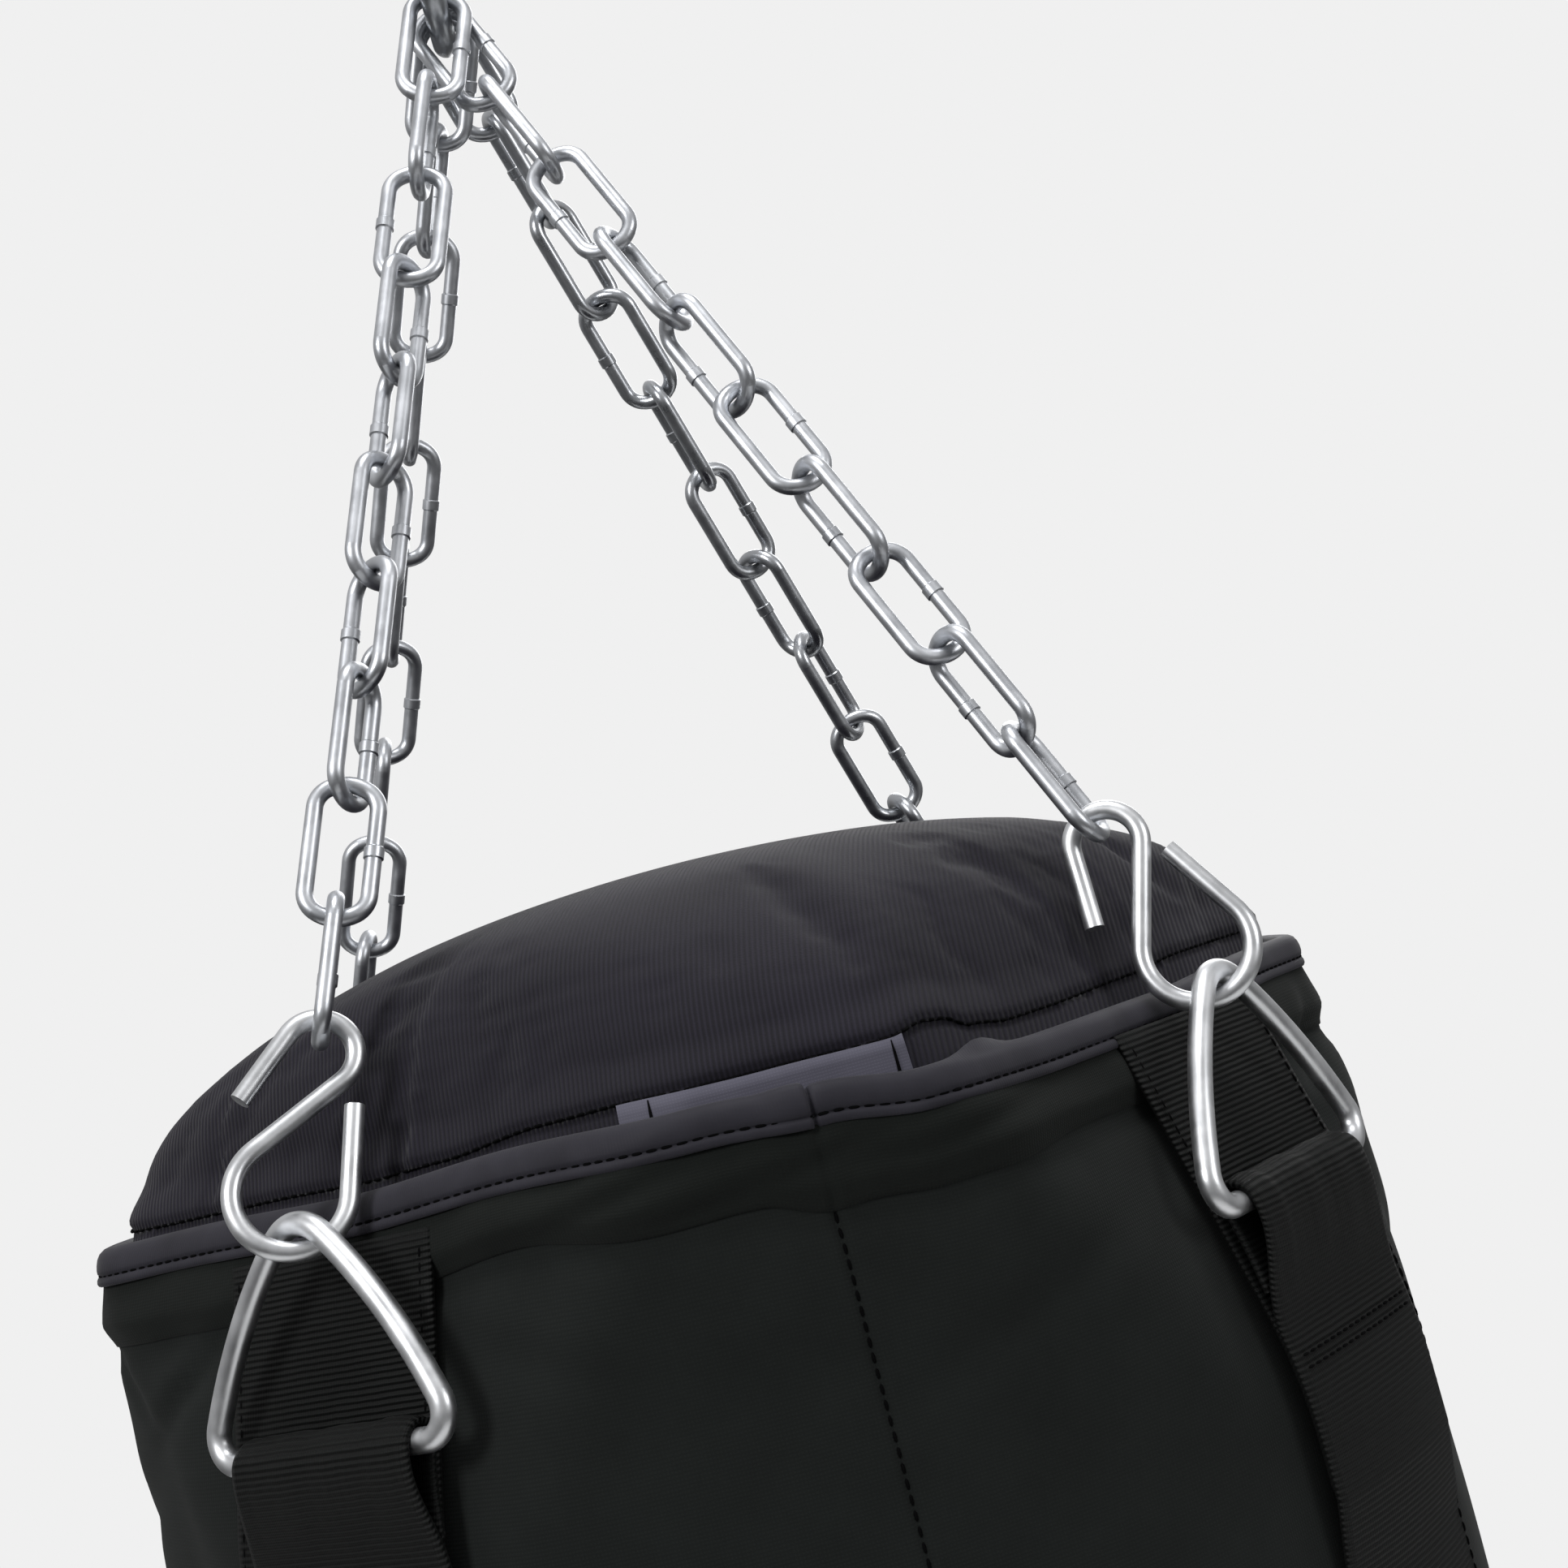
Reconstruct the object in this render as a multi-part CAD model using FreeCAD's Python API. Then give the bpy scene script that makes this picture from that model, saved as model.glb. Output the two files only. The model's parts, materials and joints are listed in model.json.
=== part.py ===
"""Hanging punching bag: filled fabric bag, four chains, swivel and snap hook.

Millimetres, +Z up. The origin is where the snap hook hangs: the inside of its top bow.
The bag hangs below it on the Z axis. Azimuths turn about Z from the front (-Y) towards +X.
"""
import FreeCAD, Part
import math
import os

from FreeCAD import Vector

# ---- bag ----
SHELL_RADIUS = 173.0          # outside of the fabric body
SHELL_WALL = 2.0
RIM_PULL = 29.0               # how far the four chains pull the rim in
RIM_FLAT_RADIUS = SHELL_RADIUS - RIM_PULL
FLAT_HEIGHT = 100.0           # each flat runs out into the round body this far below the rim
BAG_LENGTH = 1000.0           # rim to flat base
BASE_CORNER = 18.0            # outer radius where the side turns into the base
HEADER_THICK = 1.6            # doubled cloth band under the rim
HEADER_HEIGHT = 30.0
BINDING_THICK = 1.4           # folded tape over the rim
BINDING_HEIGHT = 12.0
BINDING_RISE = 2.0            # binding above the cut edge of the shell
LAYER_GAP = 0.15              # between sewn layers
LINER_THICK = 12.0            # foam sheet inside the shell
BASE_PANEL_THICK = 3.0
BASE_FOAM_THICK = 15.0
FILL_DROP = 36.0              # top of the liner and the filling under the rim
CAP_RADIUS = SHELL_RADIUS - 11.0   # dome and skirt of the cap, between the flats
CAP_RISE = 66.0               # crown of the cap over the rim
CAP_SKIRT = 28.0              # cap edge tucked inside the rim
CAP_WALL = 2.0
TAB_HALF_ANGLE = 12.0         # closure tab, half of its width in degrees
TAB_AZIMUTH = 2.5
TAB_THICK = 1.2
TAB_RISE = 13.0               # tab above the rim
TAB_DROP = 16.0               # tab below the rim

# ---- straps ----
STRAP_WIDTH = 72.0
STRAP_THICK = 2.2
STRAP_END_LIFT = 40.0         # lower end of the strap above the base
LOOP_WIDTH = STRAP_WIDTH - 5.0     # strap gathered in between the ring's corners
BACKING_LENGTH = 112.0        # webbing sewn behind the ring, below the binding
LOOP_TAIL = 26.0              # doubled, sewn part of the loop below the ring's bar

# ---- triangular rings ----
RING_WIRE = 6.0
RING_HALF_BASE = LOOP_WIDTH / 2 - 0.5   # centre of the corner bends from the middle of the bar
RING_CORNER = 6.5             # bend radii of the wire's centre line
RING_APEX = 12.0
RING_LEG_BOW = 140.0
RING_HEIGHT = 53.2            # bar to apex, centre lines
RING_DROP = 50.5              # bar below the rim
LOOP_PLAY = 1.5               # webbing loop round the bar, all round

# ---- S-hooks ----
HOOK_WIRE = 5.0
HOOK_LOWER_R = 13.8           # bend radii of the wire's centre line
HOOK_UPPER_R = 8.9
HOOK_CENTRES = 35.0
HOOK_OFFSET = 2.7             # sideways shift of the upper bend
HOOK_UPPER_TAIL = (-14.6, 21.5)   # cut end beside the upper bend, from the lower bend's centre
HOOK_LOWER_TAIL = (12.6, 23.0)    # cut end beside the lower bend
HOOK_LEAN = 26.0              # line of pull, outward from the vertical, in degrees
HOOK_ROLL = 15.0              # the ring hangs this far round the lower bend, on the bag's side

# ---- chain ----
LINK_WIRE = 4.4
LINK_INNER_WIDTH = 11.6
LINK_INNER_LENGTH = 31.75
LINK_CORNER = 6.2             # bend radii of the wire's centre line
LINK_END = 9.5
LINK_COUNT = 10
LINK_GAP = 0.15
WELD_RADIUS = 2.6             # raised weld on one side of each link
WELD_LENGTH = 3.4

# ---- swivel ----
EYE_WIRE = 7.5
EYE_HALF_WIDTH = 15.0         # inside
EYE_INNER_HEIGHT = 33.0       # longer than it is wide, so two chains lie side by side
STEM_RADIUS = 4.0
STEM_HEAD_RADIUS = 6.6
STEM_HEAD_THICK = 4.0
YOKE_WIRE = 7.0
YOKE_HALF_WIDTH = 10.0        # inside
YOKE_INNER_HEIGHT = 26.0
COLLAR_RADIUS = 9.0
COLLAR_HEIGHT = 9.0
SWIVEL_FIT = 0.08             # radial running clearance of the stem
SWIVEL_GAP = 0.4              # end play of the stem

# ---- snap hook ----
SNAP_WIRE = 8.0
SNAP_INNER_LENGTH = 64.0
SNAP_TOP_R = 16.0             # bend radii of the wire's centre line
SNAP_BOTTOM_R = 12.0
GATE_LENGTH = 34.0
GATE_RADIUS = 4.0
GATE_PIN_RADIUS = 1.3
GATE_PIN_FIT = 0.06
GATE_PIN_LIFT = 21.0          # gate pin above the centre of the bottom bend
TONGUE_THICK = 3.2
SLOT_GAP = 0.35               # between a tongue and its slot, each side
GATE_BORE_RADIUS = 2.6
SPRING_WIRE = 0.7
SPRING_RADIUS = 1.9           # to the wire's centre
SPRING_TURNS = 8

# ---- where the chains run ----
LEG_AZIMUTHS = {"front_left": -39.5, "front_right": 50.5, "back_right": 140.5, "back_left": -129.5}
LEG_SEATS = {"front_left": -10.7, "front_right": -4.5, "back_right": 10.7, "back_left": 4.5}
HOOK_TURNS = {"front_left": -51.0, "front_right": 61.0, "back_right": -51.0, "back_left": 54.0}
FIRST_TURNS = {"front_left": 90.0, "front_right": 75.0, "back_right": 90.0, "back_left": 90.0}
LINK_TURNS = {
    "front_left": (5, 70, 130, 50, 120, 60, 178, 88, 3),
    "front_right": (123, 20, 115, 15, 128, 65, 178, 88, 2),
    "back_right": (2, 62, 123, 25, 92, 152, 40, 95, 178),
    "back_left": (10, 100, 30, 95, 20, 100, 10, 85, 2),
}
CHAIN_FOOT_RADIUS = RIM_FLAT_RADIUS - 2.5   # chain's lower end from the bag's axis
BODY_GAP = 0.3                # between pieces that move on each other
SEAT_GAP = 0.6                # where a link bears on its S-hook and on the swivel eye
RING_GAP = 0.9                # where a ring bears on its S-hook

# ---- derived places ----
FLAT_SLOPE = (SHELL_RADIUS - RIM_FLAT_RADIUS) / FLAT_HEIGHT
FLAT_TILT = math.atan(FLAT_SLOPE)
SNAP_SEAT = -SNAP_INNER_LENGTH                      # inside of the bottom bow
YOKE_TOP = SNAP_SEAT + BODY_GAP + YOKE_WIRE / 2     # wire centre of the yoke's bow
COLLAR_TOP = YOKE_TOP - YOKE_WIRE / 2 - YOKE_INNER_HEIGHT
EYE_SHOULDER = COLLAR_TOP - COLLAR_HEIGHT - SWIVEL_GAP
EYE_INNER_TOP = EYE_SHOULDER - EYE_WIRE
EYE_SEAT = EYE_INNER_TOP - EYE_INNER_HEIGHT         # inside of the eye's bottom bow
LINK_PITCH = LINK_INNER_LENGTH - LINK_GAP
LINK_HALF_WIDTH = (LINK_INNER_WIDTH + LINK_WIRE) / 2
RING_REACH = RING_HEIGHT - RING_WIRE / 2            # bar centre to the inside of the apex
BACKING_OFFSET = HEADER_THICK + 2 * LAYER_GAP       # inner face of the sewn-on webbing
STRAP_OFFSET = BACKING_OFFSET + STRAP_THICK + LAYER_GAP
LOOP_INNER_R = RING_WIRE / 2 + LOOP_PLAY
LOOP_OUTER_R = LOOP_INNER_R + STRAP_THICK
CAP_OFFSET = -(SHELL_WALL + BINDING_THICK + TAB_THICK + 4 * LAYER_GAP)
LINER_OFFSET = -(SHELL_WALL + LAYER_GAP)
FILLING_OFFSET = LINER_OFFSET - LINER_THICK - LAYER_GAP


def direction(azimuth):
    """Outward horizontal direction at an azimuth in degrees."""
    a = math.radians(azimuth)
    return Vector(math.sin(a), -math.cos(a), 0)


def tangent(azimuth):
    """Horizontal direction along the rim at an azimuth in degrees."""
    a = math.radians(azimuth)
    return Vector(math.cos(a), math.sin(a), 0)


def polar(azimuth, radius, height):
    """Point at an azimuth, a distance from the bag's axis and a height."""
    p = direction(azimuth) * radius
    return Vector(p.x, p.y, height)


def flat_radius(drop):
    """Distance of a flat from the bag's axis, a given drop below the rim."""
    return RIM_FLAT_RADIUS + FLAT_SLOPE * drop


def eye_seat_centre(leg):
    """Centre of the swivel eye's wire where a chain hangs on it."""
    y = LEG_SEATS[leg]
    wire_radius = EYE_HALF_WIDTH + EYE_WIRE / 2
    return Vector(0, y, EYE_SEAT + EYE_HALF_WIDTH - math.sqrt(wire_radius**2 - y**2))


def foot_height():
    """Height of the chains' lower ends: the shortest way down leaves no chain too long."""
    reach = LINK_COUNT * LINK_PITCH - EYE_WIRE / 2 - SEAT_GAP
    heights = []
    for leg, azimuth in LEG_AZIMUTHS.items():
        foot, top = polar(azimuth, CHAIN_FOOT_RADIUS, 0), eye_seat_centre(leg)
        run = math.hypot(foot.x - top.x, foot.y - top.y)
        heights.append(top.z - math.sqrt(reach**2 - run**2))
    return max(heights)


def hook_line(leg):
    """In an S-hook's own plane: where its ring bears, and from there the line to its chain."""
    roll = math.radians(math.copysign(HOOK_ROLL, HOOK_TURNS[leg]))
    seat = HOOK_LOWER_R - HOOK_WIRE / 2
    ring_seat = Vector(-seat * math.sin(roll), 0, -seat * math.cos(roll))
    upper_centre = Vector(HOOK_OFFSET, 0, HOOK_CENTRES)
    pull = upper_centre - ring_seat
    reach = pull.Length + HOOK_UPPER_R - HOOK_WIRE / 2
    return ring_seat, pull.normalize(), reach


FOOT_Z = foot_height()
HOOK_SPAN = min(hook_line(leg)[2] for leg in LEG_AZIMUTHS) - SEAT_GAP
CONTACT_RADIUS = CHAIN_FOOT_RADIUS + HOOK_SPAN * math.sin(math.radians(HOOK_LEAN))
CONTACT_Z = FOOT_Z - HOOK_SPAN * math.cos(math.radians(HOOK_LEAN))
BAR_RADIUS = flat_radius(RING_DROP) + STRAP_OFFSET + LOOP_OUTER_R / math.cos(FLAT_TILT)
BAR_Z = CONTACT_Z - math.sqrt((RING_REACH - RING_GAP) ** 2 - (BAR_RADIUS - CONTACT_RADIUS) ** 2)
RIM_Z = BAR_Z + RING_DROP
BASE_Z = RIM_Z - BAG_LENGTH


def chain_foot(leg):
    """Where a chain's lowest link bears on its S-hook."""
    return polar(LEG_AZIMUTHS[leg], CHAIN_FOOT_RADIUS, FOOT_Z)


def chain_top(leg):
    """Where a chain's top link bears on the swivel eye."""
    centre = eye_seat_centre(leg)
    pull = (centre - chain_foot(leg)).normalize()
    return centre + pull * (EYE_WIRE / 2 + SEAT_GAP)


def ring_contact(leg):
    """Where a ring's apex bears on its S-hook."""
    return polar(LEG_AZIMUTHS[leg], CONTACT_RADIUS, CONTACT_Z)


def bar_centre(leg):
    """Middle of a ring's straight bar."""
    return polar(LEG_AZIMUTHS[leg], BAR_RADIUS, BAR_Z)


def hook_axes(leg):
    """The line of pull through an S-hook, upward, and the direction across it in its plane."""
    azimuth = LEG_AZIMUTHS[leg]
    pull = (chain_foot(leg) - ring_contact(leg)).normalize()
    outward = direction(azimuth)
    outward = (outward - pull * outward.dot(pull)).normalize()
    turn = math.radians(HOOK_TURNS[leg])
    return pull, tangent(azimuth) * math.cos(turn) + outward * math.sin(turn)


def placed(shape, origin, x_axis, z_axis):
    """A copy of shape with its local X and Z turned to the given axes and moved to origin."""
    z = Vector(z_axis).normalize()
    x = Vector(x_axis) - z * Vector(x_axis).dot(z)
    x.normalize()
    y = z.cross(x)
    m = FreeCAD.Matrix(x.x, y.x, z.x, origin.x, x.y, y.y, z.y, origin.y, x.z, y.z, z.z, origin.z)
    out = shape.copy()
    out.Placement = FreeCAD.Placement(m).multiply(out.Placement)
    return out


def wire_rod(path, start, heading, diameter):
    """A round rod along a smooth path of edges in the XZ plane."""
    section = Part.Wire([Part.makeCircle(diameter / 2, start, heading)])
    sweep = Part.BRepOffsetAPI.MakePipeShell(Part.Wire(path))
    sweep.setBiNormalMode(Vector(0, 1, 0))
    sweep.add(section)
    sweep.build()
    sweep.makeSolid()
    solid = sweep.shape()
    length = sum(e.Length for e in path)
    if abs(abs(solid.Volume) - length * math.pi * diameter**2 / 4) > 0.01 * abs(solid.Volume):
        raise ValueError("a bent rod came out with the wrong volume")
    return solid


def on_circle(centre, radius, angle):
    """Point of a circle in the XZ plane, the angle in degrees from +X towards +Z."""
    a = math.radians(angle)
    return Vector(centre[0] + radius * math.cos(a), 0, centre[1] + radius * math.sin(a))


def arc(centre, radius, start, end):
    """Arc in the XZ plane from one angle to another, in degrees, either way round."""
    middle = (start + end) / 2
    points = [on_circle(centre, radius, a) for a in (start, middle, end)]
    return Part.Arc(*points).toShape()


def line(a, b):
    """Straight edge between two points."""
    return Part.LineSegment(a, b).toShape()


def chain_link():
    """One welded link, long along Z, wide along X, centred on its own middle."""
    half, corner, end = LINK_HALF_WIDTH, LINK_CORNER, LINK_END
    top = (LINK_INNER_LENGTH + LINK_WIRE) / 2
    end_z = top - end
    corner_z = end_z + math.sqrt((end - corner) ** 2 - (half - corner) ** 2)
    lean = math.degrees(math.atan2(corner_z - end_z, half - corner))
    right, left = (half - corner, corner_z), (corner - half, corner_z)
    low_right, low_left = (half - corner, -corner_z), (corner - half, -corner_z)
    path = [
        line(Vector(half, 0, -corner_z), Vector(half, 0, corner_z)),
        arc(right, corner, 0, lean),
        arc((0, end_z), end, lean, 180 - lean),
        arc(left, corner, 180 - lean, 180),
        line(Vector(-half, 0, corner_z), Vector(-half, 0, -corner_z)),
        arc(low_left, corner, 180, 180 + lean),
        arc((0, -end_z), end, 180 + lean, 360 - lean),
        arc(low_right, corner, 360 - lean, 360),
    ]
    rod = wire_rod(path, Vector(half, 0, -corner_z), Vector(0, 0, 1), LINK_WIRE)
    bead = Part.makeCylinder(WELD_RADIUS, WELD_LENGTH, Vector(half, 0, -WELD_LENGTH / 2))
    bead = bead.makeChamfer((WELD_RADIUS - LINK_WIRE / 2) * 0.8, bead.Edges[0:1] + bead.Edges[2:3])
    return rod.fuse(bead)


def chain(leg):
    """Ten links of one chain from its foot on the S-hook to the swivel eye."""
    link = chain_link()
    foot, top = chain_foot(leg), chain_top(leg)
    step = (top - foot) * (1 / LINK_COUNT)
    up = Vector(step).normalize()
    sideways = Vector(0, 1, 0).cross(up).normalize()
    first = FreeCAD.Rotation(up, FIRST_TURNS[leg]).multVec(hook_axes(leg)[1])
    across = [first] + [FreeCAD.Rotation(up, turn).multVec(sideways) for turn in LINK_TURNS[leg]]
    links = [placed(link, foot + step * (k + 0.5), x, up) for k, x in enumerate(across)]
    return Part.makeCompound(links)


def tangent_angles(centre, radius, point, sign):
    """Angle on a circle where the line from an outside point touches it."""
    dx, dz = point[0] - centre[0], point[1] - centre[1]
    reach = math.hypot(dx, dz)
    return math.degrees(math.atan2(dz, dx)) + sign * math.degrees(math.acos(radius / reach))


def s_hook():
    """S-hook from cut rod in the XZ plane, its lower bend's centre at the origin."""
    low, high = (0.0, 0.0), (HOOK_OFFSET, HOOK_CENTRES)
    span = math.hypot(*high)
    bearing = math.degrees(math.atan2(high[1], high[0]))
    cross = math.degrees(math.acos((HOOK_LOWER_R + HOOK_UPPER_R) / span))
    leave_high = bearing - 180 + cross
    reach_low = bearing + cross
    start_high = tangent_angles(high, HOOK_UPPER_R, HOOK_UPPER_TAIL, -1)
    while start_high < leave_high:
        start_high += 360
    end_low = tangent_angles(low, HOOK_LOWER_R, HOOK_LOWER_TAIL, -1)
    while end_low < reach_low:
        end_low += 360
    first = on_circle(high, HOOK_UPPER_R, start_high)
    tail_top = Vector(HOOK_UPPER_TAIL[0], 0, HOOK_UPPER_TAIL[1])
    tail_low = Vector(HOOK_LOWER_TAIL[0], 0, HOOK_LOWER_TAIL[1])
    path = [
        line(tail_top, first),
        arc(high, HOOK_UPPER_R, start_high, leave_high),
        line(on_circle(high, HOOK_UPPER_R, leave_high), on_circle(low, HOOK_LOWER_R, reach_low)),
        arc(low, HOOK_LOWER_R, reach_low, end_low),
        line(on_circle(low, HOOK_LOWER_R, end_low), tail_low),
    ]
    return wire_rod(path, tail_top, first - tail_top, HOOK_WIRE)


def placed_s_hook(leg):
    """One S-hook between its ring and its chain, turned about the line of pull."""
    pull, across = hook_axes(leg)
    ring_seat, own_pull, _ = hook_line(leg)
    x_axis = across * own_pull.z + pull * own_pull.x
    z_axis = pull * own_pull.z - across * own_pull.x
    centre = ring_contact(leg) - x_axis * ring_seat.x - z_axis * ring_seat.z
    return placed(s_hook(), centre, x_axis, z_axis)


def triangle_ring():
    """Rounded triangular ring: bar along X through the origin, apex along +Z."""
    apex = (0.0, RING_HEIGHT - RING_APEX)
    corner = (RING_HALF_BASE, RING_CORNER)
    dx, dz = corner[0] - apex[0], corner[1] - apex[1]
    gap = math.hypot(dx, dz)
    to_apex, to_corner = RING_LEG_BOW - RING_APEX, RING_LEG_BOW - RING_CORNER
    along = (to_apex**2 - to_corner**2 + gap**2) / (2 * gap)
    off = math.sqrt(to_apex**2 - along**2)
    ux, uz = dx / gap, dz / gap
    bow = (apex[0] + ux * along + uz * off, apex[1] + uz * along - ux * off)
    at_apex = math.degrees(math.atan2(apex[1] - bow[1], apex[0] - bow[0]))
    at_corner = math.degrees(math.atan2(corner[1] - bow[1], corner[0] - bow[0]))
    mirrored = (-bow[0], bow[1])
    path = [
        line(Vector(-RING_HALF_BASE, 0, 0), Vector(RING_HALF_BASE, 0, 0)),
        arc(corner, RING_CORNER, -90, at_corner),
        arc(bow, RING_LEG_BOW, at_corner, at_apex),
        arc(apex, RING_APEX, at_apex, 180 - at_apex),
        arc(mirrored, RING_LEG_BOW, 180 - at_apex, 180 - at_corner),
        arc((-corner[0], corner[1]), RING_CORNER, 180 - at_corner, 270),
    ]
    return wire_rod(path, Vector(-RING_HALF_BASE, 0, 0), Vector(1, 0, 0), RING_WIRE)


def placed_ring(leg):
    """One ring standing from its strap loop towards its S-hook."""
    bar = bar_centre(leg)
    return placed(triangle_ring(), bar, tangent(LEG_AZIMUTHS[leg]), ring_contact(leg) - bar)


def swivel_eye():
    """Lower half of the swivel: long eye in the YZ plane, shoulder, stem and riveted head."""
    half = EYE_HALF_WIDTH + EYE_WIRE / 2
    low, high = EYE_SEAT + EYE_HALF_WIDTH, EYE_INNER_TOP - EYE_HALF_WIDTH
    path = [
        line(Vector(half, 0, low), Vector(half, 0, high)),
        arc((0, high), half, 0, 180),
        line(Vector(-half, 0, high), Vector(-half, 0, low)),
        arc((0, low), half, 180, 360),
    ]
    rod = wire_rod(path, Vector(half, 0, low), Vector(0, 0, 1), EYE_WIRE)
    rod.rotate(Vector(0, 0, 0), Vector(0, 0, 1), 90)
    shoulder = Part.makeCylinder(COLLAR_RADIUS - 1, EYE_WIRE, Vector(0, 0, EYE_INNER_TOP))
    stem_top = COLLAR_TOP + SWIVEL_GAP
    stem = Part.makeCylinder(STEM_RADIUS, stem_top - EYE_SHOULDER, Vector(0, 0, EYE_SHOULDER))
    head = Part.makeCylinder(STEM_HEAD_RADIUS, STEM_HEAD_THICK, Vector(0, 0, stem_top))
    head = head.makeFillet(STEM_HEAD_THICK * 0.45, [head.Edges[0]])
    return rod.fuse([shoulder, stem, head]).removeSplitter()


def swivel_yoke():
    """Upper half of the swivel: bow over the snap hook, closed by a collar round the stem."""
    half = YOKE_HALF_WIDTH + YOKE_WIRE / 2
    crown = YOKE_TOP - half
    foot = COLLAR_TOP - COLLAR_HEIGHT / 2
    path = [
        line(Vector(half, 0, foot), Vector(half, 0, crown)),
        arc((0, crown), half, 0, 180),
        line(Vector(-half, 0, crown), Vector(-half, 0, foot)),
    ]
    bow = wire_rod(path, Vector(half, 0, foot), Vector(0, 0, 1), YOKE_WIRE)
    bow.rotate(Vector(0, 0, 0), Vector(0, 0, 1), 90)
    ends = [Part.makeSphere(YOKE_WIRE / 2, Vector(0, side * half, foot)) for side in (-1, 1)]
    base = COLLAR_TOP - COLLAR_HEIGHT
    collar = Part.makeCylinder(COLLAR_RADIUS, COLLAR_HEIGHT, Vector(0, 0, base))
    bridge = Part.makeBox(YOKE_WIRE, 2 * half, COLLAR_HEIGHT, Vector(-YOKE_WIRE / 2, -half, base))
    bore = Part.makeCylinder(STEM_RADIUS + SWIVEL_FIT, COLLAR_HEIGHT, Vector(0, 0, base))
    return bow.fuse(ends + [collar, bridge]).cut(bore).removeSplitter()


def gate_line():
    """X of the gate's axis, and heights of its pin and of its top."""
    pin_z = SNAP_SEAT - SNAP_WIRE / 2 + SNAP_BOTTOM_R + GATE_PIN_LIFT - SNAP_BOTTOM_R
    return SNAP_TOP_R, pin_z, pin_z + GATE_LENGTH


def slab(x_low, x_high, z_low, z_high, thick):
    """Flat box in the snap hook's plane, centred on Y."""
    return Part.makeBox(x_high - x_low, thick, z_high - z_low, Vector(x_low, -thick / 2, z_low))


def snap_hook():
    """Bent rod with a gap on its right side: a tongue for the gate below, a nose blade above."""
    top_c = (0.0, SNAP_WIRE / 2 - SNAP_TOP_R)
    low_z = SNAP_SEAT - SNAP_WIRE / 2 + SNAP_BOTTOM_R
    gate_x, pin_z, gate_top = gate_line()
    low_left, low_right = (SNAP_BOTTOM_R - SNAP_TOP_R, low_z), (SNAP_TOP_R - SNAP_BOTTOM_R, low_z)
    foot = pin_z - 2 * GATE_RADIUS
    path = [
        line(Vector(gate_x, 0, foot), Vector(gate_x, 0, low_z)),
        arc(low_right, SNAP_BOTTOM_R, 0, -90),
        line(on_circle(low_right, SNAP_BOTTOM_R, -90), on_circle(low_left, SNAP_BOTTOM_R, -90)),
        arc(low_left, SNAP_BOTTOM_R, -90, -180),
        line(Vector(-gate_x, 0, low_z), Vector(-gate_x, 0, top_c[1])),
        arc(top_c, SNAP_TOP_R, 180, 0),
    ]
    nose_z = gate_top + 2 * SLOT_GAP
    if nose_z < top_c[1]:
        path.append(line(Vector(gate_x, 0, top_c[1]), Vector(gate_x, 0, nose_z)))
    rod = wire_rod(path, Vector(gate_x, 0, foot), Vector(0, 0, -1), SNAP_WIRE)
    tongue = slab(gate_x - GATE_RADIUS * 0.8, gate_x + GATE_RADIUS * 0.8, foot - 1, pin_z, TONGUE_THICK)
    knuckle = Part.makeCylinder(
        GATE_RADIUS * 0.8, TONGUE_THICK, Vector(gate_x, -TONGUE_THICK / 2, pin_z), Vector(0, 1, 0)
    )
    blade = slab(gate_x - GATE_RADIUS * 0.5, gate_x + GATE_RADIUS * 0.5, gate_top - 5, nose_z + 1,
                 TONGUE_THICK)
    hole = Part.makeCylinder(
        GATE_PIN_RADIUS + GATE_PIN_FIT, SNAP_WIRE, Vector(gate_x, -SNAP_WIRE / 2, pin_z), Vector(0, 1, 0)
    )
    return rod.fuse([tongue, knuckle, blade]).cut(hole).removeSplitter()


def snap_gate():
    """Gate: round bar, forked at both ends and bored for its spring."""
    x, pin_z, top = gate_line()
    foot = pin_z - GATE_RADIUS
    bar = Part.makeCylinder(GATE_RADIUS, top - foot, Vector(x, 0, foot))
    width = TONGUE_THICK + 2 * SLOT_GAP
    reach = 2 * GATE_RADIUS + 2
    low_slot = slab(x - reach, x + reach, foot - 1, pin_z + GATE_RADIUS + 1, width)
    top_slot = slab(x - reach, x + reach, top - 5 - 2 * SLOT_GAP, top + 1, width)
    bore = Part.makeCylinder(GATE_BORE_RADIUS, top - pin_z - 12, Vector(x, 0, pin_z))
    hole = Part.makeCylinder(
        GATE_PIN_RADIUS, 2 * GATE_RADIUS, Vector(x, -GATE_RADIUS, pin_z), Vector(0, 1, 0)
    )
    return bar.cut(low_slot).cut(top_slot).cut(bore).cut(hole)


def gate_pin():
    """Rivet through the gate's fork and the hook's tongue."""
    x, pin_z, _ = gate_line()
    return Part.makeCylinder(GATE_PIN_RADIUS, 2 * GATE_RADIUS, Vector(x, -GATE_RADIUS, pin_z), Vector(0, 1, 0))


def gate_spring():
    """Closed coil spring in the gate's bore, pushing on the tongue."""
    x, pin_z, top = gate_line()
    start = pin_z + GATE_RADIUS + 1 + SPRING_WIRE
    length = top - 12 - SPRING_WIRE - start
    helix = Part.makeHelix(length / SPRING_TURNS, length, SPRING_RADIUS)
    section = Part.Wire([Part.makeCircle(SPRING_WIRE / 2, Vector(SPRING_RADIUS, 0, 0), Vector(0, 1, 0))])
    coil = Part.Wire(helix).makePipeShell([section], True, True)
    coil.translate(Vector(x, 0, start))
    return coil


def revolved(points):
    """Solid of revolution about Z from (radius, height) points."""
    corners = [Vector(r, 0, z) for r, z in points]
    face = Part.Face(Part.makePolygon(corners + corners[:1]))
    return face.revolve(Vector(0, 0, 0), Vector(0, 0, 1), 360)


def drum(radius, low, high):
    """Round solid about Z between two heights."""
    return Part.makeCylinder(radius, high - low, Vector(0, 0, low))


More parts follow.
